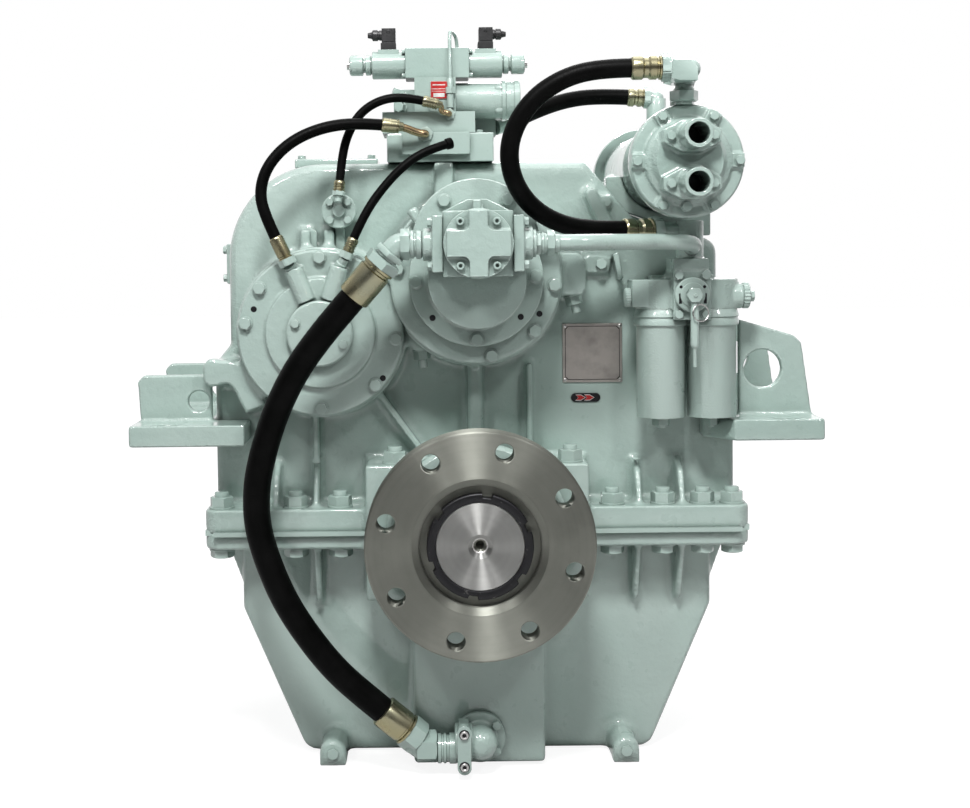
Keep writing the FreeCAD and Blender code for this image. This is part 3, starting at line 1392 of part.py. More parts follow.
def cooler():
    centre = (size("cooler_centre"), size("cooler_height"))
    radius = size("cooler_radius")
    head = size("cooler_head_radius")
    front = size("cooler_front")
    head_end = front + size("cooler_head_length")
    back = size("cooler_back")
    rear_start = back - size("cooler_head_length")
    wall = size("cooler_wall")
    flange = 12
    profile = [
        (radius - wall, head_end), (head, head_end), (head, head_end + flange), (radius, head_end + flange),
        (radius, rear_start - flange), (head, rear_start - flange), (head, rear_start), (
            radius - wall, rear_start
        ),
    ]
    node("cooler_shell", revolved("cooler_shell", profile, centre))
    profile = [
        (0, front + 4), (44, front + 4), (50, front + 12), (57, front + 16), (59, front + 22), (
            head - 3, front + 22
        ),
        (head, front + 25), (head, head_end), (radius - wall, head_end), (radius - wall, front + 26),
        (40, front + 18), (0, front + 18),
    ]
    dome = revolved("front_dome", profile, centre)
    pad_rise = size("head_pad_rise")
    parts = [dome] + head_pads(centre, front + 22 - pad_rise, pad_rise + 2)
    holes = []
    port_front = size("water_port_front")
    for rise in (1, -1):
        height = size("cooler_height") + size("water_port_rise") * rise
        across = size("cooler_centre")
        parts.append(
            cylinder(size("water_port_radius"), front + 12 - port_front, (across, port_front, height))
        )
        pad = [(-38, -8), (-13, -21), (13, -21), (38, -8), (38, 8), (13, 21), (-13, 21), (-38, 8)]
        outline = [(across + dx, height + dz) for dx, dz in pad]
        parts.append(plate("port_pad", outline, front - 14, 26))
        holes.append(
            cylinder(size("water_port_bore"), front + 24 - port_front, (across, port_front - 2, height))
        )
        for shift in (-28, 28):
            small_bolt((number(across) + shift, number(front) - 14, number(height)))
    node(
        "cooler_front_head",
        cut(fused(parts, "front_head_solid"), fused(holes, "port_holes"), "cooler_front_head")
    )
    for across, up in around([number(part) for part in centre], number(head) - 8, 6):
        small_bolt((across, number(front + 22 - pad_rise), up))
        small_bolt((across, number(back - 22 + pad_rise), up), (0, 1, 0))
    profile = [
        (0, back - 4), (46, back - 4), (56, back - 14), (59, back - 22), (head - 3, back - 22),
        (head, back - 25), (head, rear_start), (radius - wall, rear_start), (radius - wall, back - 26),
        (44, back - 18), (0, back - 18),
    ]
    rear_dome = revolved("rear_dome", profile, centre)
    rear_parts = [rear_dome] + head_pads(centre, back - 24, pad_rise + 2)
    node("cooler_rear_head", fused(rear_parts, "cooler_rear_head"))
    tubes = []
    places = [(0, 0)] + around((0, 0), 26, 6) + around((0, 0), 44, 6, 30)
    for across, up in places:
        tubes.append(cylinder(7, rear_start - head_end, (centre[0] + across, head_end, centre[1] + up)))
    for start in (head_end, rear_start - 8):
        tubes.append(cylinder(radius - wall - 0.3, 8, (centre[0], start, centre[1])))
    node("cooler_tubes", fused(tubes, "cooler_tubes"))

    saddles = []
    for depth in (FRONT + 40, BACK - 134):
        saddle_top = centre[1] - 9.5
        left = centre[0] - 85
        right = centre[0] + 69
        outline = [
            (left, saddle_top - 30), (left + 30, TOP - 75), (right - 20, TOP - 109), (right, TOP - 109),
            (right, saddle_top), (left, saddle_top),
        ]
        foot = plate("saddle_plate", outline, depth, 24)
        room = cylinder(radius + 0.2, 40, (centre[0], depth - 5, centre[1]))
        saddles.append(cut(foot, fused([room, under_saddle(depth)], "saddle_room"), "saddle"))
    node("cooler_saddles", group(saddles, "cooler_saddles"))


def head_pads(centre, start, length):
    """The raised pads under the bolts of a cooler head."""
    outer = number(size("cooler_head_radius")) - 0.5
    inner = outer - number(size("head_pad_depth"))
    pads = []
    for index in range(6):
        middle = math.radians(60 * index)
        corners = [
            (inner, middle - 0.17), (outer, middle - 0.13), (outer, middle + 0.13), (inner, middle + 0.17)
        ]
        points = [
            (centre[0] + reach * math.cos(angle), centre[1] + reach * math.sin(angle))
            for reach, angle in corners
        ]
        pads.append(plate("head_pad", points, start, length))
    return pads


def under_saddle(depth):
    """The sloping top of the upper casing, which the saddles are cut to."""
    points = [
        (160, TOP + 0.1), (162, TOP + 0.1), (236, TOP - 88 + 0.1), (HUMP_HALF - 1, TOP - 117 + 0.1),
        (420, 404), (420, 300), (160, 300)
    ]
    return plate("slope_room", points, depth - 5, 40)


def cooler_lines():
    radius = number(size("loop_hose_radius"))
    hose("cooler_hose_front", LOOP_ROUTE, radius)
    cooler_x = number(size("cooler_centre"))
    cooler_top = number(COOLER_TOP)
    sleeve, nut, nut_end = hose_end(LOOP_ROUTE[0], LOOP_ROUTE[1], 36, radius + 3, 32, 12)
    SLEEVES.append(sleeve)
    knee = (cooler_x, -2, LOOP_HIGH - 1)
    boss_depth = 62
    down = (cooler_x, boss_depth, LOOP_HIGH - 25)
    seat = (cooler_x, boss_depth, cooler_top - 2)
    PIPE_FITTINGS.append(fused(
        [
            nut, rod(nut_end, knee, 12), ball(knee, 13), rod(knee, down, 12), ball(down, 13),
            saddle_end(down, seat, 16)
        ],
        "front_elbow"))
    sleeve, nut, nut_end = hose_end(LOOP_ROUTE[-1], LOOP_ROUTE[-2], 34, radius + 3, 32, 14)
    SLEEVES.append(sleeve)
    PIPE_FITTINGS.append(
        cut(
            fused([nut, rod(nut_end, (297, 103, LOOP_LOW - 1), 10)]), riser(size("filter_riser_radius")),
            "loop_return"
        )
    )

    radius = number(size("rear_hose_radius"))
    hose("cooler_hose_rear", REAR_ROUTE, radius)
    sleeve, nut, nut_end = hose_end(REAR_ROUTE[0], REAR_ROUTE[1], 24, radius + 2, 28, 10)
    SLEEVES.append(sleeve)
    knee = (cooler_x + 8, 330, LOOP_HIGH - 5)
    seat = (cooler_x + 8, 330, cooler_top - 2)
    PIPE_FITTINGS.append(
        fused([nut, rod(nut_end, knee, 11), ball(knee, 12), saddle_end(knee, seat, 15)], "rear_elbow")
    )
    sleeve, nut, nut_end = hose_end(REAR_ROUTE[-1], REAR_ROUTE[-2], 20, radius + 2, 28, 12)
    SLEEVES.append(sleeve)
    PIPE_FITTINGS.append(
        cut(fused([nut, rod(nut_end, (36, 240, SIDE_PORT_Z), 12)]), side_port(), "rear_inlet")
    )


def saddle_end(start, seat, radius):
    """A round foot that is cut to sit on the cooler's shell."""
    leg = rod(start, seat, radius)
    shell = cylinder(size("cooler_radius") + 0.2, 500, (size("cooler_centre"), 20, size("cooler_height")))
    return cut(leg, shell, "saddle_end")


def delivery_line():
    radius = number(size("delivery_pipe_radius"))
    start_x = number(size("pump_half_width")) + number(size("pump_port_plate")) + 12
    z = number(PUMP_Z)
    union = rod((start_x, -6, z), (start_x + 18, -6, z), 17)
    nut = rod((start_x + 18, -6, z), (start_x + 34, -6, z), 34, 6)
    PIPE_FITTINGS.append(fused([union, nut], "delivery_union"))
    route = [
        (start_x + 34, -6, z), (start_x + 70, -6, z), (248, 42, z), (298, 58, z - 2), (298, 100, z - 12)
    ]
    hose("delivery_pipe", route, radius, riser(size("filter_riser_radius")))


def riser(radius):
    """The upright connection between the filter's head and the cooler."""
    top = size("cooler_height") - size("cooler_radius") - 15.5
    place_at = (size("filter_centre") + 2, 104, FILTER_RISER_FOOT)
    return cylinder(radius, top - FILTER_RISER_FOOT, place_at, ALONG_Z, "riser")


def duplex_filter():
    left = size("filter_centre") - size("filter_spacing") / 2
    depth = size("filter_depth")
    top = size("filter_bowl_top")
    bottom = size("filter_bowl_bottom")
    radius = size("filter_bowl_radius")
    wall = size("filter_wall")
    head_low = size("filter_head_bottom")
    head_top = size("filter_head_top")
    head_front = size("filter_head_front")
    boss_front = head_front - 8
    bowls = []
    elements = []
    plugs = []
    parts = []
    for index in range(2):
        across = left + size("filter_spacing") * index
        outer = cylinder(radius, top - bottom, (across, depth, bottom), ALONG_Z)
        inner = cylinder(radius - wall, top - bottom, (across, depth, bottom + wall), ALONG_Z)
        rim = cylinder(radius + 1.5, head_low - top, (across, depth, top), ALONG_Z)
        rim_hole = cylinder(radius - wall, 20, (across, depth, top - 1), ALONG_Z)
        bowls.append(cut(fused([outer, rim], "bowl_solid"), fused([inner, rim_hole], "bowl_room"), "bowl"))
        element_low = bottom + wall
        elements.append(
            cylinder(radius - wall - 6, head_low - element_low, (across, depth, element_low), ALONG_Z)
        )
        plugs.append(hexagon(16, 9, (across, depth, bottom - 9), ALONG_Z))
        parts.append(cylinder(radius + 2, head_top - head_low, (across, depth, head_low), ALONG_Z))
    left_end = left - radius - 10
    right_end = left + size("filter_spacing") + radius + 6
    parts.append(
        block((left_end, head_front + 6, head_low + 4), (size("filter_centre"), depth + 20, head_top))
    )
    parts.append(
        block(
            (size("filter_centre") - 25, boss_front, head_low),
            (size("filter_centre") + 27, depth + 30, 362)
        )
    )
    parts.append(
        block(
            (size("filter_centre") - 25, boss_front, 295),
            (size("filter_centre") + 27, depth - radius - 2, head_low)
        )
    )
    parts.append(
        block((size("filter_centre") - 24, 80, 362), (size("filter_centre") + 24, depth + 26, 380))
    )
    parts.append(
        cylinder(18, right_end - size("filter_centre"), (size("filter_centre"), depth - 10, 327), ALONG_X)
    )
    parts.append(cylinder(14, 11, (right_end, depth - 10, 327), ALONG_X))
    parts.append(block((250, depth + 20, head_low), (340, FRONT, 356)))
    parts.append(riser(size("filter_riser_radius")))
    cooler_room = cylinder(
        size("cooler_radius") + 0.3, 300, (size("cooler_centre"), 20, size("cooler_height"))
    )
    node("filter_head", cut(fused(parts, "filter_solid"), cooler_room, "filter_head"))
    node("filter_bowls", group(bowls + plugs, "filter_bowls"))
    node("filter_elements", group(elements, "filter_elements"))

    axis_z = size("lever_axis_height")
    plate_front = size("filter_plate_front")
    disc = cylinder(
        size("filter_plate_radius"), boss_front - plate_front,
        (size("filter_centre"), plate_front, axis_z)
    )
    hole = cylinder(8 + size("running_clearance"), 20, (size("filter_centre"), plate_front - 1, axis_z))
    node("changeover_plate", cut(disc, hole, "changeover_plate"))
    for dx in (-18, 19):
        for up in (-27, 27):
            small_bolt((number(size("filter_centre")) + dx, 78, number(axis_z) + up))
    spindle = cylinder(8, 28, (size("filter_centre"), plate_front - 19, axis_z))
    low = axis_z - size("lever_length")
    arm_plate = block(
        (size("filter_centre") - 5, plate_front - 15, axis_z - 72),
        (size("filter_centre") + 5, plate_front - 8, axis_z)
    )
    thin = cylinder(2.5, 30, (size("filter_centre"), plate_front - 11.5, low), ALONG_Z)
    node("changeover_lever", fused([spindle, arm_plate, thin], "changeover_lever"))


def side_port():
    """The block on the control valve's right that the rear cooler hose feeds."""
    low = TOP + size("manifold_height")
    return block((4, 222, low), (36, 258, low + size("spacer_height") - 2), "side_port")


def valve_stack():
    left = size("manifold_left")
    right = size("manifold_right")
    front = size("manifold_front")
    back = size("manifold_back")
    level_a = TOP + size("manifold_height")
    level_b = level_a + size("spacer_height")
    level_c = level_b + size("control_height")
    level_d = level_c + size("valve_height")
    lip = block((left + 8, front + 10, TOP), (right - 6, back, level_a))
    step = block((left + 30, front, TOP + 10), (right - 40, back, level_a))
    node("valve_manifold", fused([lip, step], "valve_manifold"))
    parts = [
        block((left + 2, 160, level_a), (4, 252, level_b)), block((-82, 170, level_b), (-23, 240, level_c))
    ]
    parts.append(cylinder(26, 70, (-23, 205, level_b + 19), ALONG_X))
    parts.append(cylinder(28, 26, (44, 205, level_b + 19), ALONG_X))
    parts.append(block((-112, 184, level_b), (-82, 226, level_b + 34)))
    parts.append(side_port())
    node("control_valve", fused(parts, "control_valve"))
    middle = size("valve_centre_depth")
    axis_z = level_c + size("valve_height") / 2
    v_left = size("valve_left")
    v_right = size("valve_right")
    body = block((v_left, middle - 24, level_c), (v_right, middle + 24, level_d))
    spool = size("spool_radius")
    hole = cylinder(
        spool + size("running_clearance"), v_right - v_left + 4, (v_left - 2, middle, axis_z), ALONG_X
    )
    node("directional_valve", cut(body, hole, "directional_valve"))
    coils = []
    plugs = []
    length = size("solenoid_length")
    for side, end in ((-1, v_left), (1, v_right)):
        run = (side, 0, 0)
        coil = cylinder(size("solenoid_radius"), length, (end, middle, axis_z), run)
        neck = cylinder(14, 12, (end + length * side, middle, axis_z), run)
        cap = cylinder(15, 21, (end + (length + 12) * side, middle, axis_z), run)
        seat = block(
            (end + 9 * side, middle - 15, axis_z),
            (end + 39 * side, middle + 15, axis_z + size("solenoid_radius") + 1)
        ) if side > 0 \
            else block(
                (end - 39, middle - 15, axis_z),
                (end - 9, middle + 15, axis_z + size("solenoid_radius") + 1)
            )
        room = cylinder(spool + size("running_clearance"), length + 40, (end, middle, axis_z), run)
        coils.append(cut(fused([coil, neck, cap, seat], "coil_solid"), room, "coil"))
        seat_top = axis_z + size("solenoid_radius") + 1
        centre_x = end + 24 * side
        box_low = (centre_x - 11, middle - 14, seat_top)
        box_high = (centre_x + 11, middle + 14, seat_top + 31)
        gland = cylinder(7.5, 18, (centre_x + 10 * side, middle, seat_top + 22), run)
        plugs.append(fused([block(box_low, box_high), gland], "plug"))
    node("solenoids", group(coils, "solenoids"))
    node("valve_connectors", group(plugs, "valve_connectors"))
    reach = length + 33 + size("spool_tip")
    rod_length = v_right - v_left + reach * 2
    node(
        "valve_spool", cylinder(spool, rod_length, (v_left - reach, middle, axis_z), ALONG_X, "valve_spool")
    )


def control_lines():
    thick = number(size("long_hose_radius"))
    thin = number(size("thin_hose_radius"))
    hose("control_hose_long", LONG_ROUTE, thick)
    hose("control_hose_short", SHORT_ROUTE, thin)
    hose("control_hose_middle", MIDDLE_ROUTE, thin)
    ring_front = number(COVER_Y - size("cover_ring_depth"))
    for route, lean, radius, flats, sleeve_length in (
        (LONG_ROUTE, -22, thick, 22, 30), (MIDDLE_ROUTE, 17, thin, 17, 20),
    ):
        angle = math.radians(90 - lean)
        reach = number(size("oil_boss_reach"))
        tip = (
            number(COUNTER_X) + reach * math.cos(angle), ring_front,
            number(COUNTER_Z) + reach * math.sin(angle)
        )
        sleeve, nut, nut_end = hose_end(route[0], route[1], sleeve_length, radius + 2, flats, 9)
        SLEEVES.append(sleeve)
        outwards = (math.cos(angle), 0, math.sin(angle))
        boss_foot = (tip[0] - 60 * outwards[0], tip[1], tip[2] - 60 * outwards[2])
        boss = cylinder(size("oil_boss_radius"), 60, boss_foot, outwards)
        CONTROL_FITTINGS.append(cut(fused([nut, rod(nut_end, tip, 7.5)]), boss, "boss_fitting"))
    sleeve, nut, nut_end = hose_end(LONG_ROUTE[-1], LONG_ROUTE[-2], 30, thick + 2, 20, 8)
    SLEEVES.append(sleeve)
    CONTROL_FITTINGS.append(fused([nut, elbow_into(nut_end, (-66, 150, 548), 6)], "long_elbow"))

    sleeve, nut, nut_end = hose_end(SHORT_ROUTE[-1], SHORT_ROUTE[-2], 18, thin + 2, 16, 8)
    SLEEVES.append(sleeve)
    CONTROL_FITTINGS.append(fused([nut, elbow_into(nut_end, (-30, 160, 582), 5)], "short_elbow"))
    sleeve, nut, nut_end = hose_end(MIDDLE_ROUTE[-1], MIDDLE_ROUTE[-2], 6, thin + 2, 16, 5)
    SLEEVES.append(sleeve)
    CONTROL_FITTINGS.append(fused([nut, elbow_into(nut_end, (-20, 150, 545), 5)], "middle_elbow"))
    sleeve, nut, nut_end = hose_end(SHORT_ROUTE[0], SHORT_ROUTE[1], 14, thin + 2, 16, 6)
    SLEEVES.append(sleeve)
    CONTROL_FITTINGS.append(nut)
    CONTROL_FITTINGS.append(shaped(tube_along("pressure_pipe", PRESSURE_ROUTE, 2.6), "pressure_pipe"))
    profile = [
        (0, 140), (9, 140), (9, 146), (23, 146), (25, 148), (25, 156), (18, 156), (18, FRONT), (0, FRONT)
    ]
    cover = revolved("rotary_disc", profile, (-191, 452))
    node("rotary_cover", cover)
    for across, up in around((-191, 452), 18, 4, 45):
        small_bolt((across, 146, up))


def elbow_into(start, seat, radius):
    """A thin pipe that bends from a nut into an upright face of the valve stack."""
    knee = (seat[0], seat[1] - 2 * radius, seat[2])
    return fused([rod(start, knee, radius), ball(knee, radius), rod(knee, seat, radius)], "bent_pipe")


def hand_hole_covers():
    top = block((-266, 290, TOP), (-140, 400, TOP + 14))
    side_plate = block((-HUMP_HALF - 13, 250, 348), (-HUMP_HALF, 330, 408))
    node("hand_hole_covers", group([top, side_plate], "hand_hole_covers"))
    for across in (-256, -150):
        for depth in (302, 388):
            small_bolt((across, depth, number(TOP) + 14), (0, 0, 1))
    for depth in (260, 320):
        for up in (357, 399):
            small_bolt((-number(HUMP_HALF) - 13, depth, up), (-1, 0, 0))


def plates():
    thick = size("plate_thickness")
    name_plate = block((127, FRONT - thick, 202), (213, FRONT, 287))
    turn_plate = block((141, FRONT - thick, 167), (181, FRONT, 182))
    red_plate = block((-59, 170 - thick, 611), (-35, 170, 636))
    node("blank_plates", group([name_plate, turn_plate, red_plate], "blank_plates"))


def fastener_groups():
    for name, places, flats, height in (
        ("cover_bolts", COVER_BOLTS, size("cover_bolt_flats"), size("cover_bolt_head")),
        ("small_bolts", SMALL_BOLTS, size("small_bolt_flats"), size("small_bolt_head")),
    ):
        node(name, group([hexagon(flats, height, at, axis) for at, axis in places], name))


upper_casing()
lower_casing()
mounting_brackets()
joint_fasteners()
lug_bolts()
counter_cover()
input_covers()
gear_pump()
pump_gears()
output_train()
input_train()
bearings_and_covers()
suction_line()
cooler()
cooler_lines()
delivery_line()
duplex_filter()
valve_stack()
control_lines()
hand_hole_covers()
plates()
fastener_groups()
node("hose_ferrules", group(SLEEVES, "hose_ferrules"))
node("control_fittings", group(CONTROL_FITTINGS, "control_fittings"))
node("pipe_fittings", group(PIPE_FITTINGS + SUCTION_FITTINGS, "pipe_fittings"))

doc.recompute()

# Every object has to be sound before anything is written
for item in doc.Objects:
    if "Invalid" in item.State or "Error" in item.State:
        raise RuntimeError("failed object: %s (%s)" % (item.Name, item.Label))
for name, item in NODES.items():
    if item.Shape.isNull() or not item.Shape.isValid() or not item.Shape.Solids:
        raise RuntimeError("bad shape: " + name)

os.makedirs("parts", exist_ok=True)
for name, item in NODES.items():
    item.Shape.exportStep("parts/%s.step" % name)
print("%d nodes written" % len(NODES))
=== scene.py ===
import math

import bmesh
import bpy
from mathutils import Matrix, Vector


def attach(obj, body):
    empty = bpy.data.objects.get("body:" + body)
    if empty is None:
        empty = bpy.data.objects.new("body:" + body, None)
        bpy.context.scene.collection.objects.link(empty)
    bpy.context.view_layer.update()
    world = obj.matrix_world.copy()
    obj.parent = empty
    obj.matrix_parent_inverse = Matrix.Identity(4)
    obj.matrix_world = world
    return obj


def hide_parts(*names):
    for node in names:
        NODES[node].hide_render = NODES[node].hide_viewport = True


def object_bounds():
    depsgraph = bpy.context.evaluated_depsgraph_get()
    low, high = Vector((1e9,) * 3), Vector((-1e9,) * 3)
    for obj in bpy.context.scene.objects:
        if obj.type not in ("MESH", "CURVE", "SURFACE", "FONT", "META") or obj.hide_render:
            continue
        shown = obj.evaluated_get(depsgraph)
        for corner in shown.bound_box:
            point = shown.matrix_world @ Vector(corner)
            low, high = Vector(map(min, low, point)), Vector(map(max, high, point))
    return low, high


# A marine reversing gearbox: finish and fine detail around its solids.
# x runs to the right, y away from the camera and z up. Shapes and routes are in millimetres.
MM = 0.001
HOUSING = "housing"
LEFT, RIGHT, FRONT, UP, DOWN = (-1, 0, 0), (1, 0, 0), (0, -1, 0), (0, 0, 1), (0, 0, -1)

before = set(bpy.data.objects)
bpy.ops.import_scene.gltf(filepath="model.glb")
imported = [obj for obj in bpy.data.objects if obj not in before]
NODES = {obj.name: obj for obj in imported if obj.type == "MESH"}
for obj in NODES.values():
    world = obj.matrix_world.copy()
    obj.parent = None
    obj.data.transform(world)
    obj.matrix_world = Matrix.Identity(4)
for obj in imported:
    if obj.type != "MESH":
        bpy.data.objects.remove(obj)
cad_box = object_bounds()

# Camera, lamps, floor and world, in metres
CAMERA_PLACE = (-0.0633, -1.8555, 0.3959)
CAMERA_PITCH = 0.0407
CAMERA_ROLL = -0.01152
FOCAL_LENGTH = 52.33
FRAME_SHIFT = (0.0567, -0.10)
# Each lamp's name, place, target, width, height and watts
LAMPS = (
    ("key_lamp", (-0.15, -1.5, 2.3), (0, 0.1, 0.15), 0.5, 0.4, 60),
    ("left_lamp", (-1.3, -1.8, 2.1), (0, 0.2, 0.1), 0.3, 0.3, 17),
    ("right_lamp", (1.2, -1.9, 2.0), (0, 0.2, 0.1), 0.3, 0.3, 15),
    ("top_lamp", (0.1, 0.7, 2.4), (0, 0.4, 0.2), 1.2, 1.2, 10),
    ("back_lamp", (0.6, 2.6, 1.8), (0, 0.4, 0.2), 1.4, 1.4, 34),
)
ROOM_LIGHT = 0.11
FLOOR_REACH = 14.0
FLOOR_GAP = 0.0005
FLOOR_TONE = (0.86, 0.86, 0.86)
FLOOR_BOUNCE = (0.42, 0.42, 0.42)
FLOOR_GLOW_SHARE = 0.72


def new_object(name, data):
    item = bpy.data.objects.new(name, data)
    bpy.context.scene.collection.objects.link(item)
    return item


def set_camera():
    """The photograph's view: level with the cooler, a little left of the output shaft."""
    data = bpy.data.cameras.new("camera")
    data.lens = FOCAL_LENGTH
    data.shift_x, data.shift_y = FRAME_SHIFT
    camera = new_object("camera", data)
    forward = Vector((0, math.cos(CAMERA_PITCH), -math.sin(CAMERA_PITCH)))
    level = Vector(RIGHT)
    upright = level.cross(forward)
    right = level * math.cos(CAMERA_ROLL) + upright * math.sin(CAMERA_ROLL)
    up = upright * math.cos(CAMERA_ROLL) - level * math.sin(CAMERA_ROLL)
    turn = Matrix((right, up, -forward)).transposed()
    camera.matrix_world = Matrix.Translation(CAMERA_PLACE) @ turn.to_4x4()
    bpy.context.scene.camera = camera


def set_lamps():
    for name, place, target, width, height, watts in LAMPS:
        data = bpy.data.lights.new(name, "AREA")
        data.energy = watts
        data.shape = "RECTANGLE"
        data.size = width
        data.size_y = height
        lamp = new_object(name, data)
        lamp.location = place
        toward = Vector(target) - Vector(place)
        lamp.rotation_euler = toward.to_track_quat("-Z", "Y").to_euler()


class Nodes:
    """A shader tree with a short way to add and join nodes."""

    def __init__(self, tree):
        self.tree = tree

    def add(self, kind, links=None, **settings):
        node = self.tree.nodes.new("ShaderNode" + kind)
        for key, value in settings.items():
            setattr(node, key, value)
        for key, value in (links or {}).items():
            self.join(value, node.inputs[key])
        return node

    def join(self, value, socket):
        if isinstance(value, bpy.types.NodeSocket):
            self.tree.links.new(value, socket)
        elif socket.type == "RGBA":
            socket.default_value = (*value, 1)
        else:
            socket.default_value = value

    def ramp(self, value, low, high, out_low=0.0, out_high=1.0):
        links = {0: value, 1: low, 2: high, 3: out_low, 4: out_high}
        return self.add("MapRange", links).outputs[0]

    def maths(self, operation, first, second=0.0):
        return self.add("Math", {0: first, 1: second}, operation=operation).outputs[0]

    def either(self, share, first, second):
        """A mix of two shaders."""
        return self.add("MixShader", {0: share, 1: first, 2: second}).outputs[0]


class Paint(Nodes):
    """A material that starts from the Principled shader."""

    def __init__(self, name, color, roughness, metallic=0.0):
        self.material = bpy.data.materials.new(name)
        self.material.use_nodes = True
        super().__init__(self.material.node_tree)
        self.shader = self.tree.nodes["Principled BSDF"]
        self.color(color)
        self.rough(roughness)
        self.shader.inputs["Metallic"].default_value = metallic
        self.place = self.add("TexCoord").outputs["Object"]

    def noise(self, scale, detail=2.0, roughness=0.5, vector=None):
        links = {"Vector": vector or self.place, "Scale": scale, "Detail": detail, "Roughness": roughness}
        return self.add("TexNoise", links).outputs["Fac"]

    def blend(self, share, first, second):
        node = self.add("Mix", data_type="RGBA")
        self.join(share, node.inputs[0])
        self.join(first, node.inputs[6])
        self.join(second, node.inputs[7])
        return node.outputs[2]

    def color(self, value):
        self.join(value, self.shader.inputs["Base Color"])

    def rough(self, value):
        self.join(value, self.shader.inputs["Roughness"])

    def bumps(self, *layers):
        """Each layer is a height, its depth in metres and its strength."""
        normal = None
        for height, depth, strength in layers:
            links = {"Height": height, "Distance": depth, "Strength": strength}
            if normal is not None:
                links["Normal"] = normal
            normal = self.add("Bump", links).outputs[0]
        self.join(normal, self.shader.inputs["Normal"])


def set_world():
    """White behind the object, weak light all round, and reflections brighter from behind and above."""
    world = bpy.data.worlds.new("studio")
    bpy.context.scene.world = world
    world.use_nodes = True
    world.node_tree.nodes.clear()
    nodes = Nodes(world.node_tree)

    def white(strength):
        return nodes.add("Background", {"Color": (1, 1, 1), "Strength": strength}).outputs[0]

    ray = nodes.add("LightPath").outputs
    way = nodes.add("SeparateXYZ", {0: nodes.add("TexCoord").outputs["Generated"]}).outputs
    behind = nodes.ramp(way["Y"], -0.35, 0.35)
    above = nodes.ramp(way["Z"], 0.05, 0.75, 0.1, 0.9)
    mirrored = white(nodes.maths("MAXIMUM", behind, above))
    lit = nodes.either(ray["Is Glossy Ray"], white(ROOM_LIGHT), mirrored)
    through = nodes.either(ray["Is Transmission Ray"], lit, white(1.0))
    seen = nodes.either(ray["Is Camera Ray"], through, white(1.0))
    nodes.add("OutputWorld", {"Surface": seen})
    bpy.context.scene.view_settings.view_transform = "Standard"


def set_floor():
    """A pale floor that keeps the shadow, fades to white around it and throws little light back."""
    bm = bmesh.new()
    bmesh.ops.create_grid(bm, x_segments=1, y_segments=1, size=FLOOR_REACH)
    mesh = bpy.data.meshes.new("floor")
    bm.to_mesh(mesh)
    bm.free()
    floor = new_object("floor", mesh)
    floor.location = (0, 0, cad_box[0].z - FLOOR_GAP)
    paint = Paint("floor_white", FLOOR_TONE, 0.8)
    ray = paint.add("LightPath").outputs
    paint.color(paint.blend(ray["Is Diffuse Ray"], FLOOR_TONE, FLOOR_BOUNCE))
    away = paint.add("VectorMath", {0: paint.place}, operation="LENGTH").outputs["Value"]
    glow = paint.add("Emission", {"Strength": paint.ramp(away, 0.9, 2.6, 1.24, 1.42)}).outputs[0]
    share = paint.maths("MULTIPLY", ray["Is Camera Ray"], FLOOR_GLOW_SHARE)
    mixed = paint.either(share, paint.shader.outputs[0], glow)
    paint.join(mixed, paint.tree.nodes["Material Output"].inputs["Surface"])
    mesh.materials.append(paint.material)


# Materials
ENAMEL_PALE = (0.465, 0.58, 0.535)
ENAMEL_DEEP = (0.38, 0.50, 0.455)
# The dark green the enamel is painted towards in recesses: painted shade
ENAMEL_PAINTED_SHADE = (0.13, 0.17, 0.15)


def shaded(color, share):
    return tuple(part * share for part in color)


def enamel(name, dimple, grain):
    """Thick glossy enamel. dimple is how deep the casting's unevenness shows, grain its fine skin."""
    paint = Paint(name, ENAMEL_PALE, 0.34)
    patches = paint.noise(5.0, 3.0)
    tone = paint.blend(paint.ramp(patches, 0.35, 0.7), ENAMEL_PALE, ENAMEL_DEEP)
    # Painted shade: ambient occlusion darkens the enamel's colour in recesses, corners and between parts
    painted_shade = paint.add("AmbientOcclusion", {"Distance": 0.03}, samples=6).outputs["AO"]
    paint.color(paint.blend(paint.ramp(painted_shade, 0.25, 0.85, 0.8, 0.0), tone, ENAMEL_PAINTED_SHADE))
    paint.rough(paint.ramp(paint.noise(38.0, 3.0), 0.3, 0.7, 0.26, 0.42))
    facing = paint.add("SeparateXYZ", {0: paint.add("TexCoord").outputs["Normal"]}).outputs
    sides = [paint.maths("ABSOLUTE", facing[part]) for part in "XYZ"]
    squarest = paint.maths("MAXIMUM", paint.maths("MAXIMUM", sides[0], sides[1]), sides[2])
    slanted = paint.ramp(squarest, 0.94, 0.995, 1.0, 0.2)
    skin = paint.maths("MULTIPLY", paint.noise(380.0, 2.0, 0.6), slanted)
    paint.bumps(
        (paint.noise(60.0, 1.5), 0.003 * dimple, 0.5),
        (skin, 0.0022 * grain, 0.6),
        (paint.noise(170.0, 2.0), 0.0008 * grain, 0.5),
    )
    paint.shader.inputs["Coat Weight"].default_value = 1.0
    paint.shader.inputs["Coat Roughness"].default_value = 0.05
    return paint.material


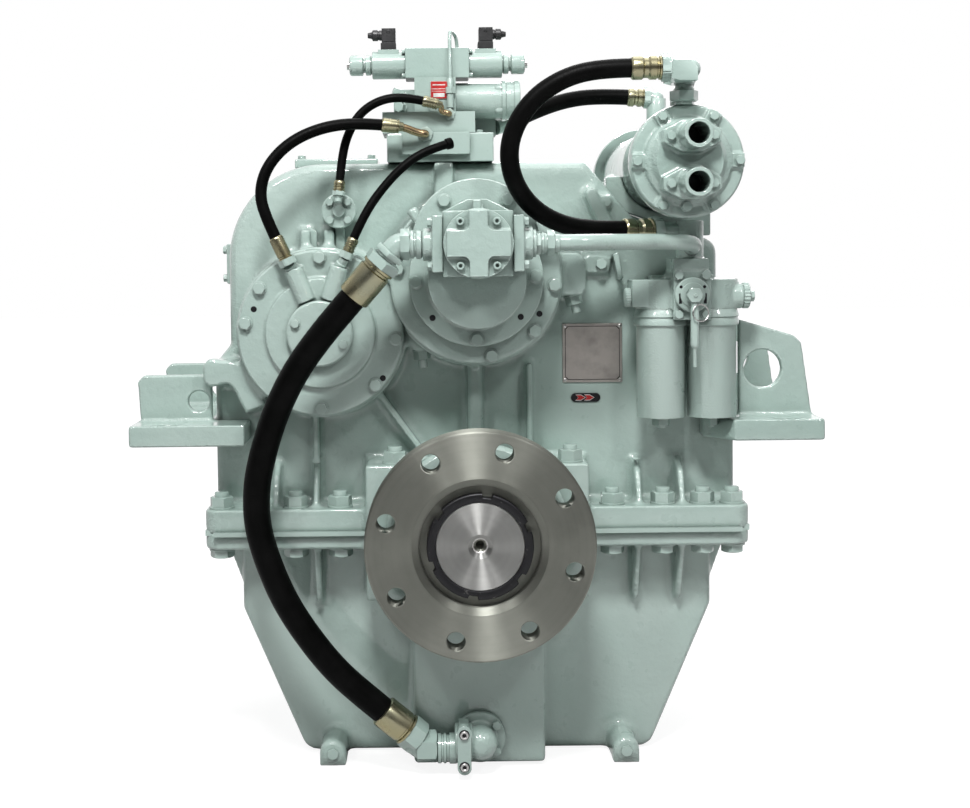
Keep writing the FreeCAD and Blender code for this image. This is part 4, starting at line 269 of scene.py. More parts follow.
def turned_steel(name, spacing, shade, smooth, fan):
    """Bright steel faced in a lathe, in rings about the shaft's line. fan is how far its gloss spreads."""
    paint = Paint(name, shade, smooth, 1.0)
    parts = paint.add("SeparateXYZ", {0: paint.place}).outputs
    squares = [paint.maths("MULTIPLY", parts[part], parts[part]) for part in "XZ"]
    radius = paint.maths("SQRT", paint.maths("ADD", *squares))
    rings = paint.add("CombineXYZ", {"X": radius, "Y": 0.0, "Z": 0.0}).outputs[0]
    fine = paint.noise(spacing, 2.0, 0.6, rings)
    broad = paint.noise(spacing / 22, 1.0, 0.5, rings)
    stains = paint.ramp(paint.noise(14.0, 4.0, 0.6), 0.45, 0.75)
    stained = paint.blend(stains, shade, shaded(shade, 0.8))
    paint.color(paint.blend(paint.ramp(broad, 0.3, 0.7, 0.0, 0.4), stained, shaded(shade, 1.2)))
    paint.rough(paint.ramp(fine, 0.2, 0.8, smooth * 0.8, smooth * 1.2))
    paint.bumps((fine, 0.0002, 0.3))
    paint.shader.inputs["Anisotropic"].default_value = fan
    paint.shader.inputs["Anisotropic Rotation"].default_value = 0.25
    tangent = paint.add("Tangent", direction_type="RADIAL", axis="Y")
    paint.join(tangent.outputs[0], paint.shader.inputs["Tangent"])
    return paint.material


def rubber():
    paint = Paint("hose_rubber", (0.006, 0.006, 0.006), 0.5)
    paint.shader.inputs["Specular IOR Level"].default_value = 0.05
    wrap = paint.noise(330.0, 2.0, 0.6)
    dust = paint.ramp(paint.noise(30.0), 0.4, 0.75)
    paint.color(paint.blend(dust, (0.0015, 0.0016, 0.0015), (0.004, 0.004, 0.004)))
    paint.rough(paint.ramp(wrap, 0.3, 0.7, 0.34, 0.5))
    paint.bumps((wrap, 0.0004, 0.3), (paint.noise(1500.0), 0.0001, 0.3))
    return paint.material


def yellow_zinc():
    """Plated sleeves: olive gold, with a faint film of other tints."""
    paint = Paint("yellow_zinc", (0.42, 0.38, 0.24), 0.25, 1.0)
    film = paint.noise(14.0, 2.0)
    tint = paint.blend(paint.ramp(film, 0.3, 0.7), (0.40, 0.35, 0.20), (0.29, 0.29, 0.21))
    paint.color(paint.blend(paint.ramp(paint.noise(160.0, 4.0, 0.7), 0.66, 0.8), tint, (0.20, 0.17, 0.12)))
    paint.rough(paint.ramp(paint.noise(60.0), 0.3, 0.7, 0.2, 0.3))
    return paint.material


def two_tones(name, color, second, roughness, metallic, patches, gloss, spread, grain):
    """Two tones in patches, with an uneven gloss and a fine grain."""
    paint = Paint(name, color, roughness, metallic)
    paint.color(paint.blend(paint.ramp(paint.noise(*patches), 0.45, 0.75), color, second))
    low, high = [roughness * part for part in spread]
    paint.rough(paint.ramp(paint.noise(*gloss), 0.3, 0.7, low, high))
    paint.bumps((paint.noise(grain), 0.0002, 0.4))
    return paint.material


def plain_metal(name, color, roughness):
    darker = shaded(color, 0.72)
    return two_tones(name, color, darker, roughness, 1.0, (40.0, 4.0), (300.0, 3.0), (0.8, 1.3), 600.0)


def plain_plastic(name, color, roughness):
    paler = tuple(part * 1.5 + 0.01 for part in color)
    return two_tones(name, color, paler, roughness, 0.0, (60.0, 3.0), (500.0,), (0.85, 1.2), 900.0)


def black_steel():
    paint = Paint("black_steel", (0.018, 0.018, 0.02), 0.38, 0.6)
    worn = paint.ramp(paint.noise(90.0, 5.0, 0.7), 0.62, 0.72)
    paint.color(paint.blend(worn, (0.016, 0.016, 0.018), (0.16, 0.155, 0.15)))
    paint.bumps((paint.noise(600.0), 0.0002, 0.5))
    return paint.material


CAST = enamel("cast_enamel", 0.8, 1.0)
SMOOTH = enamel("smooth_enamel", 0.12, 0.5)
FACED = turned_steel("faced_steel", 2600.0, (0.235, 0.24, 0.212), 0.47, 0.95)
SHAFT = turned_steel("shaft_face", 1800.0, (0.34, 0.34, 0.33), 0.46, 0.97)
RUBBER = rubber()
ZINC = yellow_zinc()
BRONZE = plain_metal("bronze_pipe", (0.46, 0.34, 0.20), 0.22)
STEEL = plain_metal("ground_steel", (0.56, 0.55, 0.54), 0.3)
BRUSHED = plain_metal("brushed_plate", (0.46, 0.43, 0.40), 0.36)
BLACK = black_steel()
PLASTIC = plain_plastic("black_plastic", (0.014, 0.014, 0.015), 0.4)
RED = plain_plastic("red_enamel", (0.42, 0.02, 0.02), 0.32)
PAPER = plain_plastic("filter_paper", (0.55, 0.45, 0.28), 0.8)
PALE = plain_plastic("pale_enamel", (0.62, 0.62, 0.60), 0.3)


# Forms in mesh code
# Points this near are one: in metres on pieces, and in millimetres where a solid's mesh is welded
SAME_SPOT = 1e-6
WELD_REACH = 0.02
# Angles between faces, in degrees, from which an edge is hard: on mesh pieces and on solids
PIECE_SHARP = 35
SOLID_SHARP = 40


def extent(points):
    return [(min(p[i] for p in points), max(p[i] for p in points)) for i in range(3)]


def middle_of(points):
    return Vector([(low + high) / 2 for low, high in extent(points)])


def half_circle(x, z, radius, start):
    """Twelve points on the half of a circle that begins at an angle."""
    angles = [start + math.pi * (k + 0.5) / 12 for k in range(12)]
    return [(x + radius * math.cos(angle), z + radius * math.sin(angle)) for angle in angles]


def frame_of(direction, turn=0.0):
    """The turn that takes +Z to a direction."""
    toward = Vector(direction).normalized()
    side = Vector(UP) if abs(toward.z) < 0.9 else Vector(RIGHT)
    across = side.cross(toward).normalized()
    spin = Matrix.Rotation(turn, 3, "Z")
    return Matrix((across, toward.cross(across), toward)).transposed() @ spin


def placed_mesh(item):
    """An object's mesh, where the object stands."""
    bm = bmesh.new()
    bm.from_mesh(item.data)
    bm.transform(item.matrix_world)
    return bm


def joined_groups(bm):
    """The vertices of each separate part of a mesh."""
    bmesh.ops.remove_doubles(bm, verts=bm.verts, dist=SAME_SPOT)
    seen = set()
    for vertex in bm.verts:
        if vertex in seen:
            continue
        seen.add(vertex)
        queue, group = [vertex], []
        while queue:
            here = queue.pop()
            group.append(here)
            for edge in here.link_edges:
                other = edge.other_vert(here)
                if other not in seen:
                    seen.add(other)
                    queue.append(other)
        yield group


class Shape:
    """A mesh under way."""

    def __init__(self):
        self.bm = bmesh.new()

    def skin(self, loops, closed=False):
        """Joins each loop of points to the next, and closes both ends with a face."""
        rings = [[self.bm.verts.new(Vector(point) * MM) for point in loop] for loop in loops]
        pairs = list(zip(rings, rings[1:]))
        if closed:
            pairs.append((rings[-1], rings[0]))
        for first, second in pairs:
            count = len(first)
            for k in range(count):
                after = (k + 1) % count
                self.bm.faces.new((first[k], first[after], second[after], second[k]))
        if not closed:
            self.bm.faces.new(list(reversed(rings[0])))
            self.bm.faces.new(rings[-1])

    def lathe(self, centre, direction, profile, steps=40, closed=False, wave=None):
        """Turns a profile of (distance along, radius) about a line. wave gives the radius at an angle."""
        turn = frame_of(direction)
        loops = []
        for along, radius in profile:
            loop = []
            for k in range(steps):
                angle = 2 * math.pi * k / steps
                reach = wave(angle, radius) if wave else radius
                spoke = Vector((reach * math.cos(angle), reach * math.sin(angle), along))
                loop.append(Vector(centre) + turn @ spoke)
            loops.append(loop)
        self.skin(loops, closed)

    def disc(self, centre, direction, radius, height, edge=1.0, steps=40):
        edge = min(edge, height * 0.45, radius * 0.4)
        soft = edge * 0.3
        self.lathe(centre, direction, [
            (0, radius), (height - edge, radius), (height - soft, radius - soft), (height, radius - edge),
        ], steps)

    def ring(self, centre, direction, inner, outer, height, edge=1.0, steps=40):
        self.lathe(centre, direction, [
            (0, inner), (0, outer), (height - edge, outer), (height, outer - edge),
            (height, inner + edge), (height - edge, inner),
        ], steps, closed=True)

    def hexagon(self, centre, direction, flats, height, turn=0.0, washer=0.0):
        """A hexagon head with chamfered corners, on a washer of a given thickness."""
        spin = frame_of(direction, turn)
        if washer:
            self.disc(centre, direction, flats * 0.62, washer, 0.5, 28)
        crown = flats / 2 * 0.96
        loops = [[], [], [], []]
        for k in range(36):
            angle = math.pi * k / 18
            reach = flats / 2 / math.cos(angle % (math.pi / 3) - math.pi / 6)
            drop = (reach - crown) * 0.62
            marks = ((0, reach), (height - drop, reach), (height, crown), (height, crown * 0.9))
            for loop, (along, radius) in zip(loops, marks):
                local = Vector((radius * math.cos(angle), radius * math.sin(angle), along + washer))
                loop.append(Vector(centre) + spin @ local)
        self.skin(loops)

    def block(self, low, high):
        """A box between two corners."""
        low, high = Vector(low), Vector(high)
        middle = (low + high) / 2
        for vertex in bmesh.ops.create_cube(self.bm, size=1.0)["verts"]:
            part = Vector(a * b for a, b in zip(vertex.co, high - low))
            vertex.co = (part + middle) * MM

    def slab(self, points, start, end):
        """A plate of an outline in the XZ plane, from one y to another."""
        self.skin([[(x, y, z) for x, z in points] for y in (start, end)])

    def rod(self, start, end, radius, steps=24, edge=0.8):
        run = Vector(end) - Vector(start)
        far = run.length
        profile = [(0, radius - edge), (edge, radius), (far - edge, radius), (far, radius - edge)]
        self.lathe(start, run, profile, steps)

    def take(self, item, wanted=None):
        """Adds the mesh of an object in place: all of it, or the parts whose middle is wanted."""
        part = placed_mesh(item)
        if wanted:
            extra = []
            for group in joined_groups(part):
                if not wanted(middle_of([vertex.co / MM for vertex in group])):
                    extra += group
            bmesh.ops.delete(part, geom=extra, context="VERTS")
        made = bpy.data.meshes.new("part")
        part.to_mesh(made)
        part.free()
        self.bm.from_mesh(made)
        bpy.data.meshes.remove(made)

    def mesh(self, name):
        bmesh.ops.remove_doubles(self.bm, verts=self.bm.verts, dist=SAME_SPOT)
        bmesh.ops.recalc_face_normals(self.bm, faces=self.bm.faces)
        made = bpy.data.meshes.new(name)
        self.bm.to_mesh(made)
        self.bm.free()
        return made


def settle(item, material, body, nodes):
    item.data.materials.append(material)
    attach(item, body)
    if nodes:
        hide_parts(*nodes)


def round_edges(item, width, degrees):
    bevel = item.modifiers.new("rounded", "BEVEL")
    bevel.width = width * MM
    bevel.segments = 2
    bevel.limit_method = "ANGLE"
    bevel.angle_limit = math.radians(degrees)
    return bevel


def add_piece(name, shape, material=SMOOTH, nodes=(), body=HOUSING, edge=0.0):
    """An object from a shape, its hard edges rounded by edge in millimetres."""
    made = shape.mesh(name)
    for face in made.polygons:
        face.use_smooth = True
    if not edge:
        made.set_sharp_from_angle(angle=math.radians(PIECE_SHARP))
    item = new_object(name, made)
    if edge:
        round_edges(item, edge, PIECE_SHARP).harden_normals = True
    settle(item, material, body, nodes)


def cast_piece(name, node, shape, voxel, rounds, share):
    """A solid and the forms added to it, under one skin with rounded edges and corners."""
    shape.take(NODES[node])
    item = new_object(name, shape.mesh(name))
    remesh = item.modifiers.new("skin", "REMESH")
    remesh.mode = "VOXEL"
    remesh.voxel_size = voxel * MM
    remesh.use_smooth_shade = True
    smooth = item.modifiers.new("rounds", "SMOOTH")
    smooth.factor = 0.5
    smooth.iterations = rounds
    fewer = item.modifiers.new("fewer", "DECIMATE")
    fewer.ratio = share
    settle(item, CAST, HOUSING, [node])


def islands(node):
    """The separate solids of a node: each one's points in millimetres."""
    bm = placed_mesh(NODES[node])
    groups = [[vertex.co / MM for vertex in group] for group in joined_groups(bm)]
    bm.free()
    return groups


# Fasteners on the solids' own places
MIDDLE_DEPTH = 300
PUMP_COVER_DEPTH = -40
ROTARY_COVER = (-191, 452)
ROTARY_RADIUS = 24
YOKE_BOLTS_X = -25
YOKE_BOLTS_REACH = 8
YOKE_BOLTS_TOP = -240
# The shares of a bolt solid's width that its washer's radius and its head's flats take
WASHER_SHARE = 0.56
FLATS_SHARE = 0.82
# The joint flanges' underside and top
FLANGE_LOW = -24
FLANGE_HIGH = 33


def hexagon_bolts(name, node, washer):
    """Heads for the short prisms of a node, facing as they stand, apart from the suction yoke's."""
    heads, sockets = Shape(), Shape()
    for order, points in enumerate(islands(node)):
        sizes = [high - low for low, high in extent(points)]
        axis = sizes.index(min(sizes))
        middle = middle_of(points)
        outward = (middle.x > 0, middle.y > MIDDLE_DEPTH, True)[axis]
        normal = Vector((0, 0, 0))
        normal[axis] = 1 if outward else -1
        height = sizes[axis]
        foot = middle - normal * height / 2
        if middle.z < YOKE_BOLTS_TOP and abs(middle.x - YOKE_BOLTS_X) < YOKE_BOLTS_REACH:
            continue
        if axis == 1 and math.dist((middle.x, middle.z), ROTARY_COVER) < ROTARY_RADIUS:
            heads.hexagon(foot, normal, 9.5, height - washer, order, washer)
        elif middle.y < PUMP_COVER_DEPTH:
            sockets.ring(foot, normal, 2.3, 5.3, height, 0.8, 30)
        else:
            across = sorted(sizes)[1]
            turn = 0.4 + order * 0.83
            heads.disc(foot, normal, across * WASHER_SHARE, washer, 0.5, 28)
            heads.hexagon(foot + normal * washer, normal, across * FLATS_SHARE, height - washer, turn)
    add_piece(name, heads, nodes=[node])
    if len(sockets.bm.verts):
        add_piece("socket_screws", sockets)


def joint_hardware():
    """Bolts from below with washers, and nuts with stud ends above the joint flange."""
    heads, nuts = Shape(), Shape()
    for order, points in enumerate(islands("joint_bolts")):
        x, y, _ = middle_of(points)
        low = extent(points)[2][0]
        heads.hexagon((x, y, FLANGE_LOW), DOWN, 30, FLANGE_LOW - low - 3, 0.5 + order, 3)
        heads.rod((x, y, FLANGE_LOW), (x, y, FLANGE_HIGH), 10)
    add_piece("joint_bolt_heads", heads, nodes=["joint_bolts"])
    for order, points in enumerate(islands("joint_nuts")):
        x, y, _ = middle_of(points)
        low, high = extent(points)[2]
        nuts.disc((x, y, low), UP, 18, 2.5, 0.6)
        nuts.hexagon((x, y, low + 2.5), UP, 30, high - low - 9, 0.3 + order * 1.3)
        nuts.disc((x, y, low + 2), UP, 10, high - low - 2, 1.5, 28)
    add_piece("joint_stud_nuts", nuts, nodes=["joint_nuts"])


# Castings
def upper_casing_forms():
    """What the casting has besides its solid: small pads and bosses."""
    shape = Shape()
    shape.slab([(150, 360), (194, 358), (199, 384), (160, 388)], 163, 178)
    shape.slab([(178, 470), (200, 472), (238, 428), (188, 424)], 170, 186)
    for across in (-228, 228):
        shape.lathe((across, 150, 92), UP, [(0, 8), (4, 8)], 16)
    shape.lathe((-88, 70, 452), (0.55, 0.0, -0.83), [(0, 7.5), (2, 8.5), (26, 8.5)], 20)
    return shape


def lower_casing_forms():
    """The faced rings round the two plugs at the bottom."""
    shape = Shape()
    for side in (-1, 1):
        shape.lathe((208 * side, 114, -316), (0, 1, 0), [(0, 14), (8, 15)], 32)
    return shape


# Each casting's piece and node, the fineness of its skin, its smoothing and its share of faces kept
CASTINGS = (
    ("upper_casing_skin", "upper_casing", 3.6, 5, 0.42),
    ("lower_casing_skin", "lower_casing", 3.6, 5, 0.42),
    ("mounting_feet", "mounting_brackets", 2.8, 5, 0.5),
    ("counter_cover_skin", "counter_cover", 1.7, 4, 0.6),
    ("counter_cap_skin", "counter_cap", 1.4, 4, 0.5),
    ("retainer_skin", "input_retainer", 1.9, 4, 0.5),
    ("adaptor_skin", "input_cover", 1.7, 4, 0.5),
    ("pump_body_skin", "pump_body", 1.5, 3, 0.5),
    ("pump_cover_skin", "pump_end_cover", 1.2, 4, 0.5),
    ("pump_flanges_skin", "pump_port_flanges", 1.4, 3, 0.5),
    ("cooler_front_skin", "cooler_front_head", 1.5, 4, 0.5),
    ("cooler_rear_skin", "cooler_rear_head", 2.0, 4, 0.5),
    ("cooler_saddles_skin", "cooler_saddles", 2.4, 4, 0.5),
    ("filter_head_skin", "filter_head", 1.6, 4, 0.5),
    ("suction_elbow_skin", "suction_elbow", 1.4, 4, 0.5),
    ("hand_covers_skin", "hand_hole_covers", 1.8, 3, 0.5),
    ("bearing_covers_skin", "bearing_covers", 2.4, 3, 0.5),
    ("rotary_cover_skin", "rotary_cover", 1.1, 4, 0.5),
)


def make_castings():
    added = {"upper_casing": upper_casing_forms, "lower_casing": lower_casing_forms}
    for name, node, voxel, rounds, share in CASTINGS:
        cast_piece(name, node, added.get(node, Shape)(), voxel, rounds, share)


def make_casing_fingers():
    """The slim fingers and the short rib on the upper casing's front, with round ends."""
    shape = Shape()
    for low, high, left, right, front in ((384, 420, -237, -223, 160), (388, 426, -198, -184, 163)):
        middle, half = (left + right) / 2, (right - left) / 2
        angles = [math.pi * k / 8 for k in range(9)]
        crown = [(middle + half * math.cos(angle), high + half * math.sin(angle)) for angle in angles]
        shape.slab([(left, low), (right, low)] + crown, front, 180)
    shape.slab([(198, 386), (206, 390), (213, 352), (206, 348)], 152, 178)
    add_piece("casing_fingers", shape, CAST, edge=2.5)


def make_joint_seam():
    """The strip between the flanges of both casing halves, in front and at the sides."""
    seam = Shape()
    for side in (-1, 1):
        for inner, outer, front, back, half in ((122, 370, 101.8, 110, 3), (376, 383.6, 118, 542, 4)):
            left, right = sorted((inner * side, outer * side))
            seam.block((left, front, -half), (right, back, half))
    add_piece("joint_seam", seam)


# Solids that keep their own mesh, with the material and the rounding of their edges
NODE_FINISHES = {
    "output_flange": (FACED, 1.2), "output_shaft": (FACED, 0.8),
    "blank_plates": (BRUSHED, 0.3), "filter_elements": (PAPER, 0.0), "valve_manifold": (SMOOTH, 2.0),
    "control_valve": (SMOOTH, 1.6), "directional_valve": (SMOOTH, 1.5), "cooler_shell": (SMOOTH, 1.0),
    "filter_bowls": (SMOOTH, 1.0), "input_coupling": (FACED, 1.0),
}
STEEL_NODES = (
    "output_gear input_gear counter_gear input_pinion counter_pinion input_shaft counter_shaft "
    "shaft_bearings pump_drive_gear pump_idler_gear valve_spool cooler_tubes"
).split()


def finish_nodes():
    """Materials and rounded edges on the solids that keep their own mesh."""
    for name, item in NODES.items():
        material, edge = NODE_FINISHES.get(name, (STEEL, 0.0) if name in STEEL_NODES else (SMOOTH, 0.7))
        item.data.materials.clear()
        item.data.materials.append(material)
        if not edge:
            continue
        weld = item.modifiers.new("weld", "WELD")
        weld.merge_threshold = WELD_REACH * MM
        round_edges(item, edge, SOLID_SHARP)


# Hoses: each one's width and the points of its route, as its solid has them
ROUTES = {
    "suction_hose": (37.0, [
        (-142, 3, 360), (-169, 7, 329), (-205, 14, 288), (-243, 26, 238), (-271, 36, 184),
        (-290, 44, 130), (-303, 52, 76), (-303, 58, 20), (-288, 62, -34), (-266, 66, -88),
        (-235, 70, -138), (-200, 74, -184), (-160, 78, -222), (-118, 82, -258),
    ]),
    "cooler_hose_front": (25.2, [
        (205, -10, 629), (160, -10, 629), (112, -9, 617), (70, -5, 588), (43, 2, 542), (44, 10, 494),
        (70, 26, 452), (114, 48, 427), (164, 70, 420), (212, 88, 420),
    ]),
    "cooler_hose_rear": (24.0, [
        (246, 330, 627), (208, 330, 629), (160, 318, 625), (112, 296, 610), (80, 272, 594),
    ]),
    "control_hose_long": (16.0, [
        (-273, 83, 412), (-286, 82, 440), (-296, 83, 475), (-285, 87, 514), (-252, 94, 548),
        (-205, 103, 568), (-155, 114, 573), (-112, 122, 569),
    ]),
    "control_hose_short": (12.4, [
        (-188, 128, 492), (-185, 132, 524), (-177, 134, 558), (-158, 135, 590), (-128, 137, 608),
        (-94, 140, 611), (-64, 142, 604),
    ]),
    "control_hose_middle": (12.4, [
        (-168, 88, 411), (-153, 90, 444), (-130, 98, 478), (-100, 104, 511), (-66, 112, 534),
        (-36, 122, 543),
    ]),
}


def spline_length(item):
    """The length of a curve's own line, in metres."""
    thick = item.data.bevel_depth
    item.data.bevel_depth = 0
    depsgraph = bpy.context.evaluated_depsgraph_get()
    depsgraph.update()
    line = bpy.data.meshes.new_from_object(item.evaluated_get(depsgraph))
    item.data.bevel_depth = thick
    points = [vertex.co.copy() for vertex in line.vertices]
    bpy.data.meshes.remove(line)
    return sum((b - a).length for a, b in zip(points, points[1:]))


def tube(name, points, radius, steps, sides):
    """A round tube along a smooth line through a route."""
    data = bpy.data.curves.new(name, "CURVE")
    data.dimensions = "3D"
    data.resolution_u = steps
    data.bevel_depth = radius * MM
    data.bevel_resolution = sides
    data.use_fill_caps = True
    spline = data.splines.new("NURBS")
    spline.points.add(len(points) - 1)
    for place, point in zip(points, spline.points):
        point.co = (*[part * MM for part in place], 1)
    spline.order_u = 3
    spline.use_endpoint_u = True
    return new_object(name, data)


def bent_tube(name, points, radius, material, nodes=()):
    settle(tube(name, points, radius, 14, 8), material, HOUSING, nodes)


def lay_hoses():
    """Rubber over each route, in place of its solid."""
    for name, (width, points) in ROUTES.items():
        item = tube(name + "_rubber", points, width / 2, 12, 10)
        length = spline_length(item)
        settle(item, RUBBER, HOUSING, [name])
        [part * MM for part in points[0]]


# Each sleeve's hose and which of its ends, how far it reaches back over the hose, its length and radius,
# its nut's flats and length, and its grooves
HOSE_ENDS = (
    ("suction_hose", 0, 34, 20, 22.5, 44, 13, 0), ("suction_hose", -1, 22, 22, 22.5, 42, 22, 0),
    ("cooler_hose_front", 0, 2, 36, 15.6, 32, 12, 1), ("cooler_hose_front", -1, 8, 34, 15.6, 32, 14, 1),
    ("cooler_hose_rear", 0, 0, 24, 14, 28, 10, 1), ("cooler_hose_rear", -1, 0, 20, 14, 28, 12, 1),
    ("control_hose_long", 0, 2, 30, 10, 22, 9, 0), ("control_hose_long", -1, 15, 8, 10, 0, 0, 0),
    ("control_hose_middle", 0, 0, 20, 8.2, 17, 9, 3), ("control_hose_short", 0, 0, 14, 8.2, 16, 6, 2),
    ("control_hose_short", -1, 5, 15, 8.2, 0, 0, 3),
)


def hose_end(name, end):
    """Where a hose ends and the way it points there."""
    points = ROUTES[name][1]
    last = Vector(points[end])
    return last, (last - Vector(points[1 if end == 0 else -2])).normalized()


def sleeve_profile(length, radius, grooves):
    """A crimped sleeve: a rolled lip at the hose, pressed grooves and a collar at the nut."""
    profile = [(-1.5, radius * 0.86), (0.3, radius * 0.98), (1.6, radius)]
    first, last = length * 0.22, length * 0.72
    for k in range(grooves):
        along = first + (last - first) * (k + 0.5) / grooves
        half = (last - first) / grooves * 0.28
        profile += [
            (along - half, radius), (along - half * 0.5, radius * 0.86),
            (along + half * 0.5, radius * 0.86), (along + half, radius),
        ]
    return profile + [
        (length * 0.82, radius), (length * 0.85, radius * 0.9), (length * 0.9, radius * 0.9),
        (length * 0.93, radius * 1.02), (length - 0.6, radius * 1.02), (length, radius * 0.94),
    ]


def make_hose_ends():
    sleeves, nuts = Shape(), Shape()
    for name, end, back, length, radius, flats, nut, grooves in HOSE_ENDS:
        start, outward = hose_end(name, end)
        sleeves.lathe(start - outward * back, outward, sleeve_profile(length + back, radius, grooves), 44)
        if nut:
            nuts.hexagon(start + outward * length, outward, flats, nut, 0.35)
    add_piece("hose_sleeves", sleeves, ZINC, ["hose_ferrules"])
    add_piece("hose_nuts", nuts)
    tip = Shape()
    start, outward = hose_end("control_hose_middle", -1)
    tip.lathe(start, outward, [(-3, 6.4), (-2, 7.8), (5, 8), (6.5, 7.2), (7.5, 5)], 32)
    add_piece("middle_hose_tip", tip, RUBBER)


# Each boss union's hose, lean in degrees, flats and sleeve length
BOSS_UNIONS = (("control_hose_long", -22, 22, 30), ("control_hose_middle", 17, 17, 20))
# The counter shaft's line at the oil bosses' depth, how far they stand from it, and the thin pipe's route
COUNTER_CENTRE = Vector((-215.92, 92, 281.78))
BOSS_REACH = 96
LOOPED_PIPE = (
    (-31, 166, 636), (-31, 168, 660), (-31, 172, 680), (-31, 174, 699), (-30, 179, 709), (-23, 196, 706),
    (-20, 202, 696), (-20, 202, 685),
)


def make_elbows(collars):
    """The thin elbows from two hoses into the valve stack."""
    cones = Shape()
    seats = (("control_hose_long", (-67, 150, 559), 5.5, 8, ["control_fittings"]),
             ("control_hose_short", (-33, 160, 588), 4.3, 15, []))
    for name, seat, radius, reach, nodes in seats:
        start, outward = hose_end(name, -1)
        first = start + outward * (reach - 4)
        seat = Vector(seat)
        near = Vector((0, -2.6 * radius, 0))
        points = [
            first, first + outward * 10, seat + near - outward * 12, seat + near, seat + near * 0.5,
            seat + Vector((0, 2, 0)),
        ]
        cones.lathe(start + outward * (reach - 2), outward, [
            (0, radius * 1.5), (2, radius * 1.5), (3, radius * 1.3), (8, radius * 1.12), (9, radius * 0.9),
        ], 32)
        bent_tube(name + "_elbow", points, radius, BRONZE, nodes)
        collars.hexagon(seat + Vector((0, 6, 0)), FRONT, radius * 3.5, 10, 0.3)
    add_piece("elbow_cones", cones, ZINC)


def make_control_fittings():
    """The elbows, the unions on the oil bosses and the looped pipe."""
    collars = Shape()
    make_elbows(collars)
    for name, lean, flats, sleeve in BOSS_UNIONS:
        start, outward = hose_end(name, 0)
        angle = math.radians(90 - lean)
        radial = Vector((math.cos(angle), 0, math.sin(angle)))
        boss = COUNTER_CENTRE + radial * BOSS_REACH
        foot = start + outward * (sleeve + 8)
        collars.hexagon(start + outward * (sleeve - 1), outward, flats, 10, 0.2)
        run = boss - foot
        far = run.length
        neck = [(0, flats * 0.4), (far * 0.5, flats * 0.4), (far * 0.6, 8), (far + 2, 8)]
        collars.lathe(foot, run, neck, 28)
        collars.hexagon(boss - radial, run, flats * 1.05, 6, 0.5)
    start, outward = hose_end("control_hose_short", 0)
    collars.hexagon(start + outward * 13, outward, 16, 7, 0.2)
    collars.lathe(start + outward * 19, outward, [(0, 6), (3, 6), (4, 5), (9, 5)], 24)
    collars.lathe((-31, 166, 598), UP, [(0, 5), (22, 5), (23, 4.2), (40, 4.2), (42, 3)], 24)
    collars.hexagon((-31, 166, 618), UP, 12.5, 9, 0.2)
    add_piece("control_unions", collars)
    bent_tube("looped_pipe", LOOPED_PIPE, 2.6, SMOOTH)


# Valve stack, filter handle, plates and small hardware

# The line of both solenoids, and the bore that the valve's own pin fills
SOLENOID_Y = 202
SOLENOID_Z = 663.5
SOLENOID_BORE = 6.6
SOLENOID_PROFILE = [
    (0, 20), (46.8, 20), (47.8, 19), (48, 13), (49.5, 13), (50, 14.4), (57, 14.4), (57.4, 10.6),
    (60.4, 10.6), (60.8, 13.4), (62, 14.8), (77.5, 14.8), (79.6, 14), (81, 11.5), (81, SOLENOID_BORE),
    (0, SOLENOID_BORE),
]
GLAND_PROFILE = [
    (0, 7.4), (4, 7.4), (4.4, 6.6), (6, 6.6), (6.4, 8), (13, 8), (14, 7), (15, 5), (16.5, 4.6), (21, 3.6),
]
# The main plug on top of each solenoid: how far its blocks reach left, right, to each side, down and up
PLUG_BLOCKS = ((11, 11, 14, 684.6, 694), (9.5, 10.5, 13, 693, 715), (8, 9, 13.6, 696, 713))


def make_solenoids():
    coils, plugs = Shape(), Shape()
    y, z = SOLENOID_Y, SOLENOID_Z
    for side, end in ((-1, -95), (1, -3)):
        outward = (side, 0, 0)
        coils.lathe((end, y, z), outward, SOLENOID_PROFILE, 44, closed=True)
        left, right = sorted((end + 9 * side, end + 39 * side))
        coils.block((left, y - 14, z + 12), (right, y + 14, z + 21))
        for rise in (-17, 17):
            coils.disc((end + 5 * side, y - 17, z + rise), (-side, 0, 0), 3.4, 7, 0.8, 20)
        middle = end + 24 * side
        for to_left, to_right, half, low, high in PLUG_BLOCKS:
            plugs.block((middle - to_left, y - half, low), (middle + to_right, y + half, high))
        plugs.lathe((middle + 9 * side, y, 706.5), outward, GLAND_PROFILE, 28)
        plugs.disc((middle, y - 13, 710), FRONT, 2.6, 1.4, 0.4, 18)
    add_piece("solenoid_coils", coils, nodes=["solenoids"], edge=0.8)
    add_piece("plug_connectors", plugs, PLASTIC, ["valve_connectors"], edge=0.9)


def make_valve_hardware():
    """Screws and rings of the pressure cylinder, and the plugs of the valve block."""
    extras = Shape()
    for dy, dz in ((-17, 15), (-17, -15), (17, 15), (17, -15)):
        extras.lathe((47, 205 + dy, 611 + dz), LEFT, [(0, 6), (10, 6), (13, 4.6), (14.5, 2)], 24)
    extras.ring((44, 205, 611), RIGHT, 20, 30, 6, 1.2, 48)
    extras.ring((62, 205, 611), RIGHT, 20, 30, 8, 1.2, 48)
    extras.hexagon((-100, 184, 600), (-0.5, -0.85, 0.1), 14, 8, 0.4, 2)
    extras.hexagon((-96, 184, 616), (-0.5, -0.85, 0.1), 10, 8, 0.1, 1.5)
    extras.disc((-104, 192, 622), (-0.9, -0.3, 0.3), 5.5, 10, 1.2, 24)
    extras.hexagon((-53, 170, 597), FRONT, 15, 5, 0.6, 1.5)
    for across in (-92, 10):
        extras.hexagon((across, 168, 562), UP, 9, 4, 0.2)
    add_piece("valve_hardware", extras)


